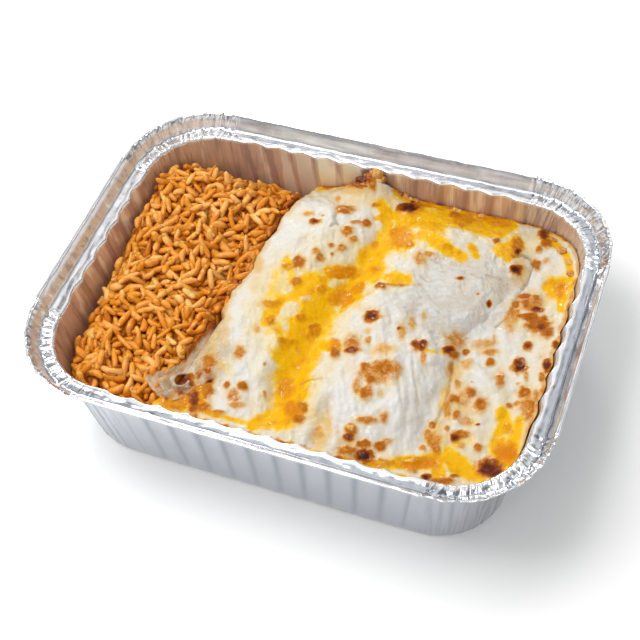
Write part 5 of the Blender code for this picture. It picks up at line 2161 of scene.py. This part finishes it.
@dataclass(frozen=True)
class Blob:
    """A small lump of fried or bubbling cheese: its place and half sizes, all in millimetres."""

    x: float
    y: float
    sink: float
    half_x: float
    half_y: float
    half_z: float
    shade: float


@dataclass
class FriedCrumbs:
    """The crumbs of cheese fried on to the crust and against the ledge behind it."""

    blobs: tuple[Blob, ...] = (
        Blob(1.6, 69.6, -3.2, 2.6, 1.9, 3.4, 0.15),
        Blob(-0.6, 69.9, -2.2, 2.0, 1.5, 2.6, 0.3),
        Blob(3.8, 69.7, -1.6, 1.7, 1.4, 2.2, 0.25),
        Blob(2.6, 68.2, 0.2, 1.9, 1.5, 1.6, 0.05),
        Blob(-3.0, 69.4, -0.6, 2.2, 1.7, 1.5, 0.5),
        Blob(-6.0, 67.6, 0.2, 2.4, 1.6, 1.1, 0.8),
        Blob(-3.8, 65.8, 0.2, 2.8, 1.5, 0.9, 0.9),
        Blob(-7.6, 65.2, 0.2, 1.8, 1.5, 0.9, 0.6),
        Blob(-1.0, 66.4, 0.2, 2.0, 1.5, 0.9, 0.7),
        Blob(-5.4, 63.6, 0.3, 2.6, 1.2, 0.7, 0.6),
        Blob(-2.4, 63.6, 0.3, 2.2, 1.3, 0.7, 0.45),
    )
    seen: tuple[tuple[float, float, float, float, float], ...] = (
        (407, 193, 2.4, 1.0, 0.3), (412, 195, 1.7, 0.8, 0.15), (417, 198, 2.0, 0.8, 0.35),
        (404, 190, 1.8, 1.0, 0.65), (458, 204, 1.8, 0.7, 0.2), (462, 205, 1.3, 0.6, 0.1),
        (484, 209, 1.6, 0.8, 0.2), (452, 206, 1.7, 0.7, 0.5), (552, 240, 2.1, 0.5, 0.4),
        (562, 250, 2.4, 0.5, 0.3), (569, 262, 1.8, 0.5, 0.2), (571, 273, 2.0, 0.5, 0.35),
        (378, 287, 1.2, 0.8, 0.5), (383, 287, 1.0, 0.6, 0.6), (352, 351, 1.9, 0.6, 0.7),
        (336, 354, 1.2, 0.7, 0.55), (351, 427, 1.9, 1.1, 0.2), (348, 437, 1.7, 1.0, 0.8),
        (521, 365, 1.8, 0.6, 0.9), (361, 454, 2.2, 0.8, 0.95),
    )
    wall_y: float = 69.7 * MM
    rings: int = 10
    sides: int = 16
    finish: CrumbFinish = field(default_factory=CrumbFinish)

    def build(self) -> bpy.types.Object:
        """Makes the crumbs as one piece of lumpy balls.

        Returns:
            The crumbs.
        """
        polar = np.linspace(0, np.pi, self.rings + 1)[1:-1, None]
        around = np.linspace(0, math.tau, self.sides, endpoint=False)[None, :]
        unit_x, unit_y = np.sin(polar) * np.cos(around), np.sin(polar) * np.sin(around)
        grid = np.stack((unit_x, unit_y, -np.cos(polar) + 0 * around), axis=-1).reshape(-1, 3)
        unit = np.concatenate(([[0, 0, -1]], grid, [[0, 0, 1]]))
        points, faces, shades = [], [], []
        found = list(self.blobs)
        for column, row, size, tall, shade in self.seen:
            x, y, _ = CAMERA.on_surface([column], [row], FOOD.cheese_top)[0]
            y = min(y, self.wall_y)
            found.append(Blob(x / MM, y / MM, 0.3 * tall, size, 0.8 * size, tall, shade))
        for number, blob in enumerate(found):
            x, y = np.array([blob.x * MM]), np.array([blob.y * MM])
            foot = FOOD.cheese_top(x, y)[0] - blob.sink * MM
            across, along = unit[:, 0] * 1.8 + 5 * number, unit[:, 1] * 1.8 + unit[:, 2] * 1.3
            lumpy = 1 + 0.22 * speckle(across, along, 71)
            half = np.array((blob.half_x, blob.half_y, blob.half_z)) * MM
            first = sum(len(part) for part in points)
            points.append(unit * half * lumpy[:, None] + np.array((x[0], y[0], foot)))
            shades.append(blob.shade + 0.25 * speckle(unit[:, 0] * 2 + number, unit[:, 1] * 2, 72))
            faces += ball_faces(self.rings - 1, self.sides, first)
        shade = {"shade": np.concatenate(shades)}
        crumbs = mesh_object("cheese_crumbs", np.concatenate(points), faces, shade)
        crumbs.data.materials.append(self.finish.build())
        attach(crumbs, "root")
        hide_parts("melted_cheese")
        return crumbs


@dataclass
class Studio:
    """The pale floor and the soft light."""

    floor_size: float = 3.0
    bright: float = 1.15
    dim: float = 0.16
    panel: float = 0.42
    key_power: float = 7.6
    key_size: float = 0.6
    key_place: tuple[float, float, float] = (-0.40, -0.08, 0.95)
    glint_power: float = 2.0
    glint_size: float = 0.25
    glint_place: tuple[float, float, float] = (-0.42, 0.78, 0.42)

    def light(self, name: str, place: tuple[float, float, float], size: float, power: float) -> None:
        """Hangs one square soft light that faces the tray.

        Args:
            name: Its name.
            place: Where it hangs.
            size: Its side.
            power: Its power in watts.
        """
        data = bpy.data.lights.new(name, "AREA")
        data.energy = power
        data.size = size
        made = placed(name, data)
        made.location = place
        made.rotation_euler = (Vector(place) * -1).to_track_quat("-Z", "Y").to_euler()

    def build(self) -> None:
        """Lays the floor and hangs the lights."""
        half = self.floor_size / 2
        corners = ((-half, -half, 0), (half, -half, 0), (half, half, 0), (-half, half, 0))
        floor = mesh_object("floor", np.array(corners), [(0, 1, 2, 3)])
        floor.data.materials.append(FloorFinish().build())
        world = bpy.data.worlds.new("studio")
        world.use_nodes = True
        graph = Graph(world.node_tree)
        panels = graph.noise(graph.node("ShaderNodeTexCoord"), self.panel, 0.0)
        strength = self.dim + panels.step(0.44, 0.58) * (self.bright - self.dim)
        graph.feed(world.node_tree.nodes["Background"], {"Color": (1.0, 1.0, 1.0), "Strength": strength})
        bpy.context.scene.world = world
        bpy.context.scene.view_settings.view_transform = "Standard"
        self.light("key_light", self.key_place, self.key_size, self.key_power)
        self.light("glint_light", self.glint_place, self.glint_size, self.glint_power)


def main() -> None:
    """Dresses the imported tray, piece by piece."""
    logging.basicConfig(level=logging.INFO, format="%(name)s: %(message)s")
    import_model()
    CAMERA.build()
    Studio().build()
    built = [FoilTray().build(), *EnchiladaRolls().build(), MeltedCheese().build(), *RiceHeap().build()]
    built += [CheeseTongue().build(), FriedCrumbs().build()]
    for piece in built:
        LOG.info("%s: %d faces", piece.name, len(piece.data.polygons))


if __name__ == "__main__":
    main()
